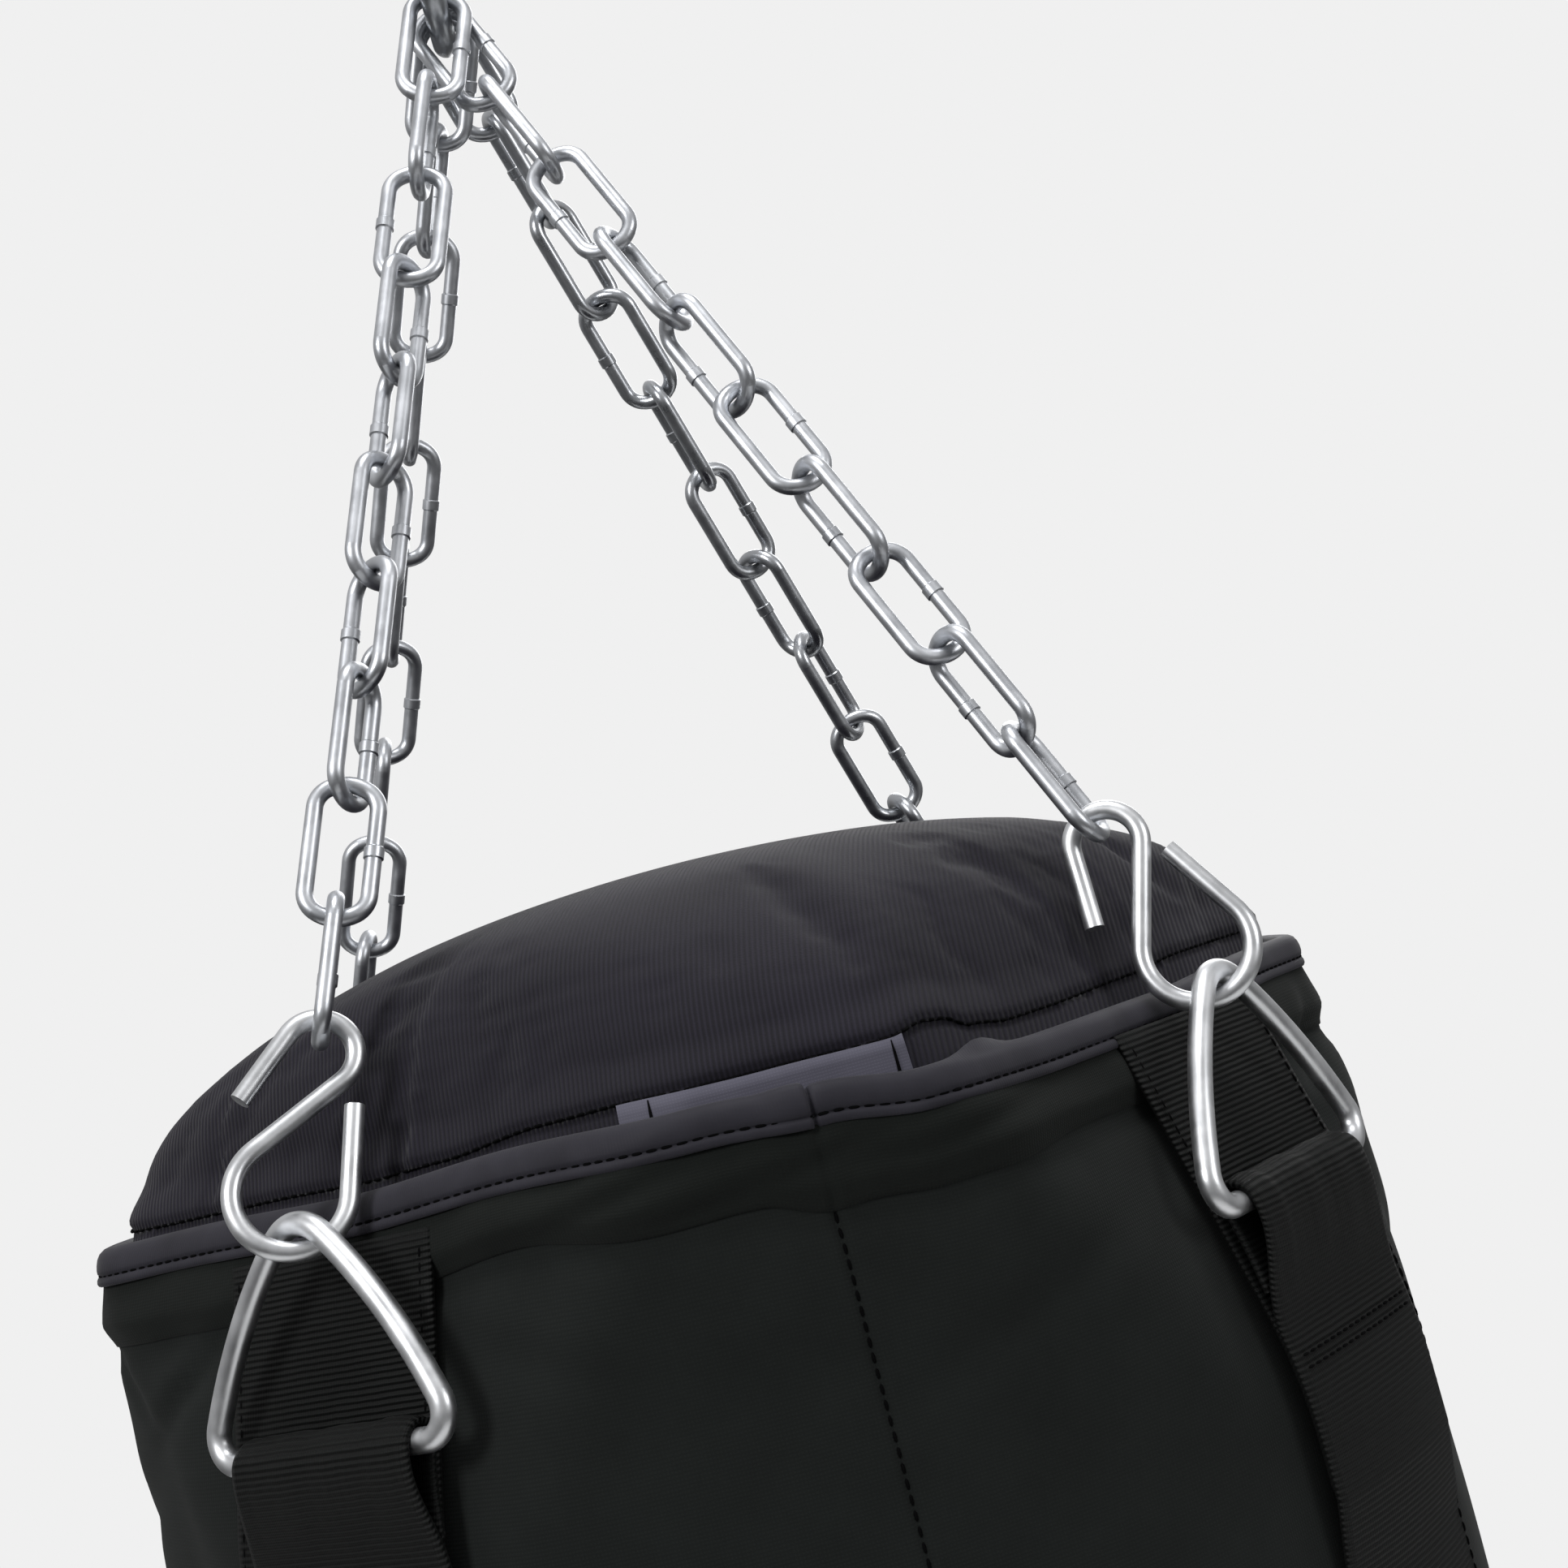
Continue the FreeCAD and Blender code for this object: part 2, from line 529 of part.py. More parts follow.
def turned_to(shape, azimuth):
    """Turn a shape about Z so that its +X side faces an azimuth."""
    out = shape.copy()
    out.rotate(Vector(0, 0, 0), Vector(0, 0, 1), azimuth - 90)
    return out


def flattened(solid, offset):
    """Cut the four sloping flats into a round solid; offset moves them out from the shell's own."""
    reach, span = 2 * SHELL_RADIUS, FLAT_HEIGHT * 1.6
    cutter = Part.makeBox(reach, 2 * reach, 2 * span, Vector(0, -reach, -span))
    cutter.rotate(Vector(0, 0, 0), Vector(0, 1, 0), -math.degrees(FLAT_TILT))
    cutter.translate(Vector(RIM_FLAT_RADIUS + offset, 0, RIM_Z))
    return solid.cut([turned_to(cutter, azimuth) for azimuth in LEG_AZIMUTHS.values()])


def layer(inner, outer, low, high):
    """Band of cloth that follows the body between two offsets from it and two heights."""
    outside = flattened(drum(SHELL_RADIUS + outer, low, high), outer)
    return outside.cut(flattened(drum(SHELL_RADIUS + inner, low, high), inner))


def strip(solid, leg, width):
    """The part of a band that lies behind a strap's width."""
    reach = 2 * SHELL_RADIUS
    box = solid.BoundBox
    window = Part.makeBox(reach, width, box.ZLength, Vector(0, -width / 2, box.ZMin))
    return solid.common(turned_to(window, LEG_AZIMUTHS[leg]))


def bag_outline(inset):
    """Solid inside the fabric tube's outer face, less an inset; its lower edge turns in."""
    radius, corner_z = SHELL_RADIUS - inset, BASE_Z + BASE_CORNER
    corner_r = BASE_CORNER - inset
    centre = SHELL_RADIUS - BASE_CORNER
    path = [
        line(Vector(0, 0, RIM_Z), Vector(radius, 0, RIM_Z)),
        line(Vector(radius, 0, RIM_Z), Vector(radius, 0, corner_z)),
        arc((centre, corner_z), corner_r, 0, -90),
        line(Vector(centre, 0, BASE_Z + inset), Vector(0, 0, BASE_Z + inset)),
        line(Vector(0, 0, BASE_Z + inset), Vector(0, 0, RIM_Z)),
    ]
    solid = Part.Face(Part.Wire(path)).revolve(Vector(0, 0, 0), Vector(0, 0, 1), 360)
    return flattened(solid, -inset)


def shell():
    """Fabric tube whose lower edge turns in round the base panel."""
    opening = drum(SHELL_RADIUS - BASE_CORNER, BASE_Z, BASE_Z + SHELL_WALL)
    return bag_outline(0).cut([bag_outline(SHELL_WALL), opening])


def header_band():
    """Doubled cloth band round the top of the shell."""
    return layer(LAYER_GAP, LAYER_GAP + HEADER_THICK, RIM_Z - HEADER_HEIGHT, RIM_Z - LAYER_GAP)


def rim_binding():
    """Tape folded over the rim, over the header band outside and the shell inside."""
    out = HEADER_THICK + 2 * LAYER_GAP
    into = -SHELL_WALL - LAYER_GAP
    low, top = RIM_Z + BINDING_RISE - BINDING_HEIGHT, RIM_Z + BINDING_RISE
    tape = layer(into - BINDING_THICK, out + BINDING_THICK, low, top)
    return tape.cut(layer(into, out, low, RIM_Z + LAYER_GAP))


def cap_solid(inset, foot):
    """Solid under the cap's dome and skirt, less an inset from its outer face."""
    radius, rise = CAP_RADIUS - inset, CAP_RISE - inset
    crown = Part.Ellipse(Vector(radius, 0, RIM_Z), Vector(0, 0, RIM_Z + rise), Vector(0, 0, RIM_Z))
    quarter = Part.ArcOfEllipse(crown, 0, math.pi / 2).toShape()
    path = [
        quarter,
        line(Vector(0, 0, RIM_Z + rise), Vector(0, 0, RIM_Z - foot)),
        line(Vector(0, 0, RIM_Z - foot), Vector(radius, 0, RIM_Z - foot)),
        line(Vector(radius, 0, RIM_Z - foot), Vector(radius, 0, RIM_Z)),
    ]
    solid = Part.Face(Part.Wire(path)).revolve(Vector(0, 0, 0), Vector(0, 0, 1), 360)
    return flattened(solid, CAP_OFFSET - inset)


def cap_cover():
    """Domed skin with its skirt."""
    return cap_solid(0, CAP_SKIRT).cut(cap_solid(CAP_WALL, CAP_SKIRT + 1))


def cap_pad():
    """Foam that fills the cap."""
    return cap_solid(CAP_WALL + LAYER_GAP, CAP_SKIRT)


def closure_tab():
    """Short strip on the front of the cap, between it and the rim."""
    low, high = RIM_Z - TAB_DROP, RIM_Z + TAB_RISE
    inner, outer = LAYER_GAP, LAYER_GAP + TAB_THICK
    outside = flattened(drum(CAP_RADIUS + outer, low, high), CAP_OFFSET + outer)
    band = outside.cut(flattened(drum(CAP_RADIUS + inner, low, high), CAP_OFFSET + inner))
    width = 2 * CAP_RADIUS * math.sin(math.radians(TAB_HALF_ANGLE))
    window = Part.makeBox(2 * CAP_RADIUS, width, high - low, Vector(0, -width / 2, low))
    return band.common(turned_to(window, TAB_AZIMUTH))


def liner():
    """Foam sheet rolled inside the shell."""
    low = BASE_Z + BASE_CORNER + BASE_FOAM_THICK
    return layer(LINER_OFFSET - LINER_THICK, LINER_OFFSET, low, RIM_Z - FILL_DROP)


def filling():
    """Packed textile core."""
    low = BASE_Z + BASE_CORNER + BASE_FOAM_THICK
    return flattened(drum(SHELL_RADIUS + FILLING_OFFSET, low, RIM_Z - FILL_DROP), FILLING_OFFSET)


def base_panel():
    """Round base sewn into the shell's lower edge; its underside is the flat base."""
    return drum(SHELL_RADIUS - BASE_CORNER - LAYER_GAP, BASE_Z, BASE_Z + BASE_PANEL_THICK)


def base_foam():
    """Foam disc over the base panel."""
    low = BASE_Z + BASE_CORNER - LAYER_GAP
    return drum(SHELL_RADIUS + LINER_OFFSET, low, low + BASE_FOAM_THICK)


def strap_backing(leg):
    """Webbing sewn flat behind the ring, from the binding down."""
    top = RIM_Z - BINDING_HEIGHT + BINDING_RISE - LAYER_GAP
    band = layer(BACKING_OFFSET, BACKING_OFFSET + STRAP_THICK, top - BACKING_LENGTH, top)
    return strip(band, leg, STRAP_WIDTH)


def strap_loop():
    """Loop round the bar, on Y through the origin, with its doubled, sewn tail on the -X side."""
    tail = LOOP_OUTER_R + LOOP_TAIL
    start = Vector(0, -LOOP_WIDTH / 2, 0)
    eye = Part.makeCylinder(LOOP_OUTER_R, LOOP_WIDTH, start, Vector(0, 1, 0))
    doubled = Part.makeBox(2 * STRAP_THICK, LOOP_WIDTH, tail, start + Vector(-LOOP_OUTER_R, 0, -tail))
    hole = Part.makeCylinder(LOOP_INNER_R, LOOP_WIDTH, start, Vector(0, 1, 0))
    return eye.fuse(doubled).cut(hole)


def strap(leg):
    """Load strap: a loop round the ring's bar, a sewn double layer, and a run down the bag."""
    loop = strap_loop()
    loop.rotate(Vector(0, 0, 0), Vector(0, 1, 0), -math.degrees(FLAT_TILT))
    loop.translate(Vector(BAR_RADIUS, 0, BAR_Z))
    run = layer(STRAP_OFFSET, STRAP_OFFSET + STRAP_THICK, BASE_Z + STRAP_END_LIFT, BAR_Z)
    return strip(run, leg, STRAP_WIDTH).fuse(turned_to(loop, LEG_AZIMUTHS[leg])).removeSplitter()


def build():
    """All nodes by name."""
    nodes = {
        "snap_hook": snap_hook(), "snap_hook_gate": snap_gate(), "gate_pin": gate_pin(),
        "gate_spring": gate_spring(), "swivel_yoke": swivel_yoke(), "swivel_eye": swivel_eye(),
        "bag_shell": shell(), "header_band": header_band(), "rim_binding": rim_binding(),
        "cap_cover": cap_cover(), "cap_pad": cap_pad(), "closure_tab": closure_tab(),
        "foam_liner": liner(), "textile_filling": filling(), "base_panel": base_panel(),
        "base_foam": base_foam(),
    }
    for leg in LEG_AZIMUTHS:
        nodes["chain_" + leg] = chain(leg)
        nodes["s_hook_" + leg] = placed_s_hook(leg)
        nodes["triangle_ring_" + leg] = placed_ring(leg)
        nodes["strap_" + leg] = strap(leg)
        nodes["strap_backing_" + leg] = strap_backing(leg)
    return nodes


def main():
    """Write one STEP per node."""
    os.makedirs("parts", exist_ok=True)
    for name, shape in build().items():
        solids = shape.Solids
        if not solids or not shape.isValid():
            raise ValueError(name + " is not a valid solid")
        shape.exportStep("parts/" + name + ".step")
        box = shape.BoundBox
        print(f"{name:28s} solids {len(solids):2d}  z {box.ZMin:9.2f} {box.ZMax:9.2f}  "
              f"x {box.XMin:8.2f} {box.XMax:8.2f}  y {box.YMin:8.2f} {box.YMax:8.2f}")


main()
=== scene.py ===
"""Looks of the hanging punching bag: cloth, tape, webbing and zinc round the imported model.

Lengths in this file are millimetres unless a name says otherwise; meshes are written in metres.
Azimuths turn about Z from the front (-Y) towards +X, in degrees. A drop is a distance below the rim.
"""
import json
import logging
import math
from collections.abc import Sequence
from dataclasses import dataclass, field
from enum import Enum

import bmesh
import bpy
import numpy as np
from bpy.types import Material, Mesh, Node, NodeSocket, NodeTree, Object
from mathutils import Matrix, Vector, noise
from mathutils.bvhtree import BVHTree


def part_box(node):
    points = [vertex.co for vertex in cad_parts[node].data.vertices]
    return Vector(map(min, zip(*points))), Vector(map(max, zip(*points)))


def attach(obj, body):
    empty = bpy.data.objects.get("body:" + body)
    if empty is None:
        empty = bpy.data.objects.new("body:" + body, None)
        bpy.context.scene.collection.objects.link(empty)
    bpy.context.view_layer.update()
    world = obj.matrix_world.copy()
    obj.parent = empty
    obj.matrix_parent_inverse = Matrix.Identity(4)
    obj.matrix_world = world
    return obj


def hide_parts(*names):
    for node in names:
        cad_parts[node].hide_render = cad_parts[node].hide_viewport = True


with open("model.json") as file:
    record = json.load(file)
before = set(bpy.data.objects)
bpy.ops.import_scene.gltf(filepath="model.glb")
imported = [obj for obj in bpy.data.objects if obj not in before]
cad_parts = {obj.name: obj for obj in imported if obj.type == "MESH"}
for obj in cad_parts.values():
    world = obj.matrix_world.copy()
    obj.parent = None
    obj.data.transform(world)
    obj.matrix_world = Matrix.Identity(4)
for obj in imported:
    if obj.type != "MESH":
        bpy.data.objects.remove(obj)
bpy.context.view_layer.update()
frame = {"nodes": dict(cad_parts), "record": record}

LOG = logging.getLogger("bag")
MM = 0.001
JOINTS = {joint["name"]: joint for joint in frame["record"]["behaviour"]["joints"]}
LEGS = ("front_left", "front_right", "back_right", "back_left")
BAG = "bag"  # the moving body that every cloth piece rides on
FLAT_REACH = 75.0   # a flat is felt this many degrees to each side of its strap
ABOVE_RIM = 20.0    # the form is read at most this far above the rim

Profile = tuple[tuple[float, float], ...]  # (azimuth, height) pairs, from -180 to 180
Pattern = tuple[NodeSocket, NodeSocket]    # tone, from dark to the finish's colour, and height


class Slot(str, Enum):
    """Names of the record's material slots for the cloth pieces; no piece here is given one."""

    BODY = "body_cloth"
    CAP = "cap_cloth"
    BINDING = "binding_tape"
    WEBBING = "webbing"
    TAB = "tab_cloth"
    FOAM = "foam"


# ---------------------------------------------------------------- small helpers


def linear(colour: str) -> tuple[float, float, float, float]:
    """Turn an sRGB hex colour into linear light.

    Args:
        colour: Colour as "#rrggbb".

    Returns:
        Linear red, green, blue and an alpha of 1.
    """
    parts = [int(colour[i : i + 2], 16) / 255 for i in (1, 3, 5)]
    light = [p / 12.92 if p <= 0.04045 else ((p + 0.055) / 1.055) ** 2.4 for p in parts]
    return light[0], light[1], light[2], 1.0


def ease(value: np.ndarray | float, low: float, high: float) -> np.ndarray:
    """Smooth step.

    Args:
        value: Where to read the step.
        low: Where it leaves 0.
        high: Where it reaches 1.

    Returns:
        0 to 1, the shape of value.
    """
    t = np.clip((np.asarray(value, float) - low) / (high - low), 0.0, 1.0)
    return t * t * (3 - 2 * t)


def hump(value: np.ndarray, centre: float, width: float) -> np.ndarray:
    """Rounded bump of height 1 at centre, width away from which it has died out."""
    return np.exp(-(((value - centre) / (0.5 * width)) ** 2))


def apart(azimuth: np.ndarray | float, other: float) -> np.ndarray:
    """Signed angle from other to azimuth, within half a turn, in degrees."""
    return (np.asarray(azimuth, float) - other + 180.0) % 360.0 - 180.0


def smooth_min(a: np.ndarray, b: np.ndarray, soft: float) -> np.ndarray:
    """Lower of two values, rounded off where they meet.

    Args:
        a: First values.
        b: Second values.
        soft: Difference below which the corner is rounded.

    Returns:
        The rounded minimum.
    """
    h = np.maximum(soft - np.abs(a - b), 0.0) / soft
    return np.minimum(a, b) - h * h * soft / 4


def lumps(x: np.ndarray | float, y: np.ndarray | float, size: float, seed: float) -> np.ndarray:
    """Soft random unevenness.

    Args:
        x: Places along the cloth.
        y: Places across the cloth.
        size: Distance from one lump to the next.
        seed: Picks the pattern.

    Returns:
        Values from about -1 to 1.
    """
    x, y = np.broadcast_arrays(x, y)
    flat = [noise.noise(Vector((a / size, b / size, seed))) for a, b in zip(x.ravel(), y.ravel())]
    return np.array(flat).reshape(x.shape) * 1.6


def around(profile: Profile, azimuth: np.ndarray) -> np.ndarray:
    """Height that changes round the rim.

    Args:
        profile: (azimuth, height) pairs in rising order of azimuth, from -180 to 180.
        azimuth: Where to read it, in degrees.

    Returns:
        Heights, eased from one pair to the next.
    """
    turned = apart(azimuth, 0.0)
    stops = [p[0] for p in profile]
    values = [p[1] for p in profile]
    k = np.clip(np.searchsorted(stops, turned, side="right") - 1, 0, len(stops) - 2)
    low, high = np.take(stops, k), np.take(stops, k + 1)
    t = np.clip((turned - low) / (high - low), 0, 1)
    t = t * t * (3 - 2 * t)
    return np.take(values, k) * (1 - t) + np.take(values, k + 1) * t


def all_round(azimuth: np.ndarray) -> np.ndarray:
    """Azimuths with the first one again at the end, a turn further on."""
    return np.concatenate([azimuth, azimuth[:1] + 360])


def along(path: np.ndarray) -> np.ndarray:
    """Distance run along a path at each of its points."""
    return np.concatenate([[0], np.cumsum(np.linalg.norm(np.diff(path, axis=0), axis=1))])


def polar(azimuth: np.ndarray, radius: np.ndarray | float, height: np.ndarray | float) -> np.ndarray:
    """Points from azimuths in degrees, distances from the Z axis and heights.

    Args:
        azimuth: Degrees.
        radius: Distances from the Z axis.
        height: Heights.

    Returns:
        Places, in the unit of the distances.
    """
    a = np.radians(azimuth)
    radius = radius + 0 * a
    return np.stack([np.sin(a) * radius, -np.cos(a) * radius, height + 0 * radius], axis=-1)


def add_object(name: str, mesh: Mesh) -> Object:
    """Put a mesh into the scene, shaded smooth.

    Args:
        name: The piece's name.
        mesh: Its mesh.

    Returns:
        The object.
    """
    obj = bpy.data.objects.new(name, mesh)
    bpy.context.scene.collection.objects.link(obj)
    mesh.polygons.foreach_set("use_smooth", [True] * len(mesh.polygons))
    mesh.update()
    return obj


def grid_object(
    name: str, points: np.ndarray, cloth: np.ndarray, closed: bool, capped: bool = False
) -> Object:
    """Mesh from rows of points, with a UV map in metres of cloth.

    Args:
        name: The piece's name.
        points: Rows by columns of places, in millimetres.
        cloth: Rows by columns, or columns + 1 where closed, of places on the cloth.
        closed: Join the last column to the first.
        capped: Close the first and the last row with a face each.

    Returns:
        The object.
    """
    rows, columns = points.shape[:2]
    mesh = bpy.data.meshes.new(name)
    faces = []
    wraps = []
    last = columns if closed else columns - 1
    for r in range(rows - 1):
        for c in range(last):
            d = (c + 1) % columns
            faces.append((r * columns + c, r * columns + d, (r + 1) * columns + d, (r + 1) * columns + c))
            wraps.append(((r, c), (r, c + 1), (r + 1, c + 1), (r + 1, c)))
    if capped:
        first = tuple(reversed(range(columns)))
        faces.append(first)
        wraps.append(tuple((0, c) for c in first))
        faces.append(tuple((rows - 1) * columns + c for c in range(columns)))
        wraps.append(tuple((rows - 1, c) for c in range(columns)))
    mesh.from_pydata((points.reshape(-1, 3) * MM).tolist(), [], faces)
    layer = mesh.uv_layers.new(name="cloth")
    values = np.array([cloth[r, c] for face in wraps for r, c in face]) * MM
    layer.data.foreach_set("uv", values.ravel())
    return add_object(name, mesh)


@dataclass
class Rows:
    """Rows of a piece's mesh, gathered one by one with their places on the cloth."""

    points: list[np.ndarray] = field(default_factory=list)
    cloth: list[np.ndarray] = field(default_factory=list)

    def add(self, points: np.ndarray, u: np.ndarray, v: np.ndarray | float) -> None:
        """Take one more row.

        Args:
            points: Its places in millimetres.
            u: Their places along the cloth, with one more at the end where the piece is closed.
            v: Their places across the cloth.
        """
        self.points.append(points)
        self.cloth.append(np.stack([u, v + 0 * u], axis=-1))

    def piece(self, name: str, closed: bool = True, capped: bool = False) -> Object:
        """Mesh from the rows, as grid_object makes it."""
        return grid_object(name, np.array(self.points), np.array(self.cloth), closed, capped)


# ---------------------------------------------------------------- finishes


def add(tree: NodeTree, kind: str, links: dict | None = None, **settings) -> Node:
    """Add a node with its settings and links.

    Args:
        tree: The tree that it goes into.
        kind: The node's type name.
        links: Input name or number to a value, or to the output socket that feeds it.
        **settings: Properties of the node itself.

    Returns:
        The node.
    """
    node = tree.nodes.new(kind)
    for key, value in settings.items():
        setattr(node, key, value)
    for key, value in (links or {}).items():
        socket = node.inputs[key]
        if isinstance(value, NodeSocket):
            tree.links.new(value, socket)
        else:
            socket.default_value = value
    return node


def bands(spacing: float) -> float:
    """Scale of a wave texture whose bands lie this many millimetres apart."""
    return 2 * math.pi / (20 * spacing * MM)


@dataclass(frozen=True)
class Finish:
    """A material: its shader's constants, and a pattern that gives its tone and its relief."""

    name: str
    colour: str
    roughness: float
    dark: str = "#000000"
    metallic: float = 0.0
    specular: float = 0.5
    sheen: float = 0.0
    sheen_roughness: float = 0.5
    depth: float = 0.3      # of the relief, in millimetres
    strength: float = 0.4   # of the relief

    def build(self) -> Material:
        """Make the material.

        Returns:
            The material, with its pattern linked into its shader.
        """
        material = bpy.data.materials.new(self.name)
        material.use_nodes = True
        material.diffuse_color = linear(self.colour)
        tree = material.node_tree
        shader = tree.nodes["Principled BSDF"]
        constants = {
            "Base Color": linear(self.colour), "Roughness": self.roughness, "Metallic": self.metallic,
            "Specular IOR Level": self.specular, "Sheen Weight": self.sheen,
            "Sheen Roughness": self.sheen_roughness,
        }
        for socket, value in constants.items():
            shader.inputs[socket].default_value = value
        tone, height = self.pattern(tree, shader)
        mix = add(tree, "ShaderNodeMix", {"Factor": tone, "A": linear(self.dark), "B": linear(self.colour)},
                  data_type="RGBA")
        tree.links.new(mix.outputs["Result"], shader.inputs["Base Color"])
        bump = add(tree, "ShaderNodeBump", {"Height": height, "Strength": self.strength,
                                            "Distance": self.depth * MM})
        tree.links.new(bump.outputs["Normal"], shader.inputs["Normal"])
        return material

    def pattern(self, tree: NodeTree, shader: Node) -> Pattern:
        """Make the surface's own detail.

        Args:
            tree: The tree that it goes into.
            shader: The material's shader.

        Returns:
            Tone, from 0 for dark to 1 for the finish's colour, and height.
        """
        raise NotImplementedError


@dataclass(frozen=True)
class SatinZinc(Finish):
    """Bright zinc plating on drawn or welded steel: a soft white-grey gleam with faint draw marks."""

    metallic: float = 1.0
    grain: float = 0.55  # draw marks, real ones are about 0.1 mm; drawn coarser so that they show
    cloud: float = 9.0   # patches of duller plating
    depth: float = 0.1
    strength: float = 0.016

    def pattern(self, tree: NodeTree, shader: Node) -> Pattern:
        """Cloudy plating, fine pits and draw marks.

        Args:
            tree: The tree that it goes into.
            shader: The material's shader.

        Returns:
            Tone and height.
        """
        place = add(tree, "ShaderNodeTexCoord").outputs["Object"]
        cloud = add(tree, "ShaderNodeTexNoise",
                    {"Vector": place, "Scale": 1000 / self.cloud, "Detail": 4.0, "Roughness": 0.6})
        fine = add(tree, "ShaderNodeTexNoise", {"Vector": place, "Scale": 1000 / self.grain, "Detail": 2.0})
        rough = add(tree, "ShaderNodeMapRange", {
            "Value": cloud.outputs["Fac"], "From Min": 0.3, "From Max": 0.7,
            "To Min": self.roughness - 0.06, "To Max": self.roughness + 0.08,
        })
        tree.links.new(rough.outputs["Result"], shader.inputs["Roughness"])
        return cloud.outputs["Fac"], fine.outputs["Fac"]


@dataclass(frozen=True)
class PlainWeave(Finish):
    """Dense woven polyester: near black, threads crossing over and under, a faint sheen at grazing light."""

    thread: float = 0.9  # real threads are about 0.4 mm; drawn coarser so that they show
    depth: float = 0.12
    strength: float = 0.5
    sheen: float = 0.03
    specular: float = 0.12

    def pattern(self, tree: NodeTree, shader: Node) -> Pattern:
        """Crossing threads, uneven dye and a slight nap.

        Args:
            tree: The tree that it goes into.
            shader: The material's shader.

        Returns:
            Tone and height.
        """
        place = add(tree, "ShaderNodeTexCoord").outputs["UV"]
        warp, weft = (
            add(tree, "ShaderNodeTexWave",
                {"Vector": place, "Scale": bands(self.thread), "Distortion": 0.5, "Detail": 1.0},
                wave_type="BANDS", bands_direction=way, wave_profile="SIN").outputs["Fac"]
            for way in "XY"
        )
        cross = add(tree, "ShaderNodeMath", {0: warp, 1: weft}, operation="MULTIPLY").outputs[0]
        dye = add(tree, "ShaderNodeTexNoise",
                  {"Vector": place, "Scale": 45.0, "Detail": 5.0, "Roughness": 0.55})
        blend = add(tree, "ShaderNodeMath", {0: dye.outputs["Fac"], 1: 0.75, 2: 0.12},
                    operation="MULTIPLY_ADD").outputs[0]
        mixed = add(tree, "ShaderNodeMath", {0: cross, 1: 0.25, 2: blend}, operation="MULTIPLY_ADD")
        return mixed.outputs[0], cross


@dataclass(frozen=True)
class FineTwill(Finish):
    """Cap twill: long parallel ridges that run one way over the whole dome, charcoal with a violet cast."""

    ridge: float = 1.25  # distance between ridges
    turn: float = 8.0    # ridges from the front-to-back line, in degrees
    depth: float = 0.26
    strength: float = 0.8
    sheen: float = 0.06
    sheen_roughness: float = 0.45
    specular: float = 0.14

    def pattern(self, tree: NodeTree, shader: Node) -> Pattern:
        """Ridges laid flat over the dome, broken by thread noise.

        Args:
            tree: The tree that it goes into.
            shader: The material's shader.

        Returns:
            Tone and height.
        """
        place = add(tree, "ShaderNodeTexCoord").outputs["Object"]
        turned = add(tree, "ShaderNodeMapping",
                     {"Vector": place, "Rotation": (0.0, 0.0, math.radians(self.turn))})
        ridges = add(tree, "ShaderNodeTexWave", {
            "Vector": turned.outputs["Vector"], "Scale": bands(self.ridge), "Distortion": 0.8,
            "Detail": 2.0, "Detail Scale": 0.4,
        }, wave_type="BANDS", bands_direction="X").outputs["Fac"]
        threads = add(tree, "ShaderNodeTexNoise", {"Vector": place, "Scale": 1400.0, "Detail": 2.0})
        dye = add(tree, "ShaderNodeTexNoise", {"Vector": place, "Scale": 28.0, "Detail": 4.0})
        lay = add(tree, "ShaderNodeMath", {0: ridges, 1: 0.55}, operation="MULTIPLY").outputs[0]
        mixed = add(tree, "ShaderNodeMath", {0: dye.outputs["Fac"], 1: 0.6, 2: lay},
                    operation="MULTIPLY_ADD")
        height = add(tree, "ShaderNodeMath", {0: threads.outputs["Fac"], 1: 0.35, 2: ridges},
                     operation="MULTIPLY_ADD")
        return mixed.outputs[0], height.outputs[0]


@dataclass(frozen=True)
class FoldedTape(Finish):
    """Binding tape: tight smooth weave, a little lighter than the cloth, with fine cross threads."""

    thread: float = 0.8
    depth: float = 0.05
    sheen: float = 0.06
    sheen_roughness: float = 0.4
    specular: float = 0.13

    def pattern(self, tree: NodeTree, shader: Node) -> Pattern:
        """Cross threads and slow changes of tone.

        Args:
            tree: The tree that it goes into.
            shader: The material's shader.

        Returns:
            Tone and height.
        """
        place = add(tree, "ShaderNodeTexCoord").outputs["UV"]
        threads = add(tree, "ShaderNodeTexWave",
                      {"Vector": place, "Scale": bands(self.thread), "Distortion": 1.0, "Detail": 1.0},
                      wave_type="BANDS", bands_direction="X")
        dye = add(tree, "ShaderNodeTexNoise", {"Vector": place, "Scale": 60.0, "Detail": 4.0})
        return dye.outputs["Fac"], threads.outputs["Fac"]


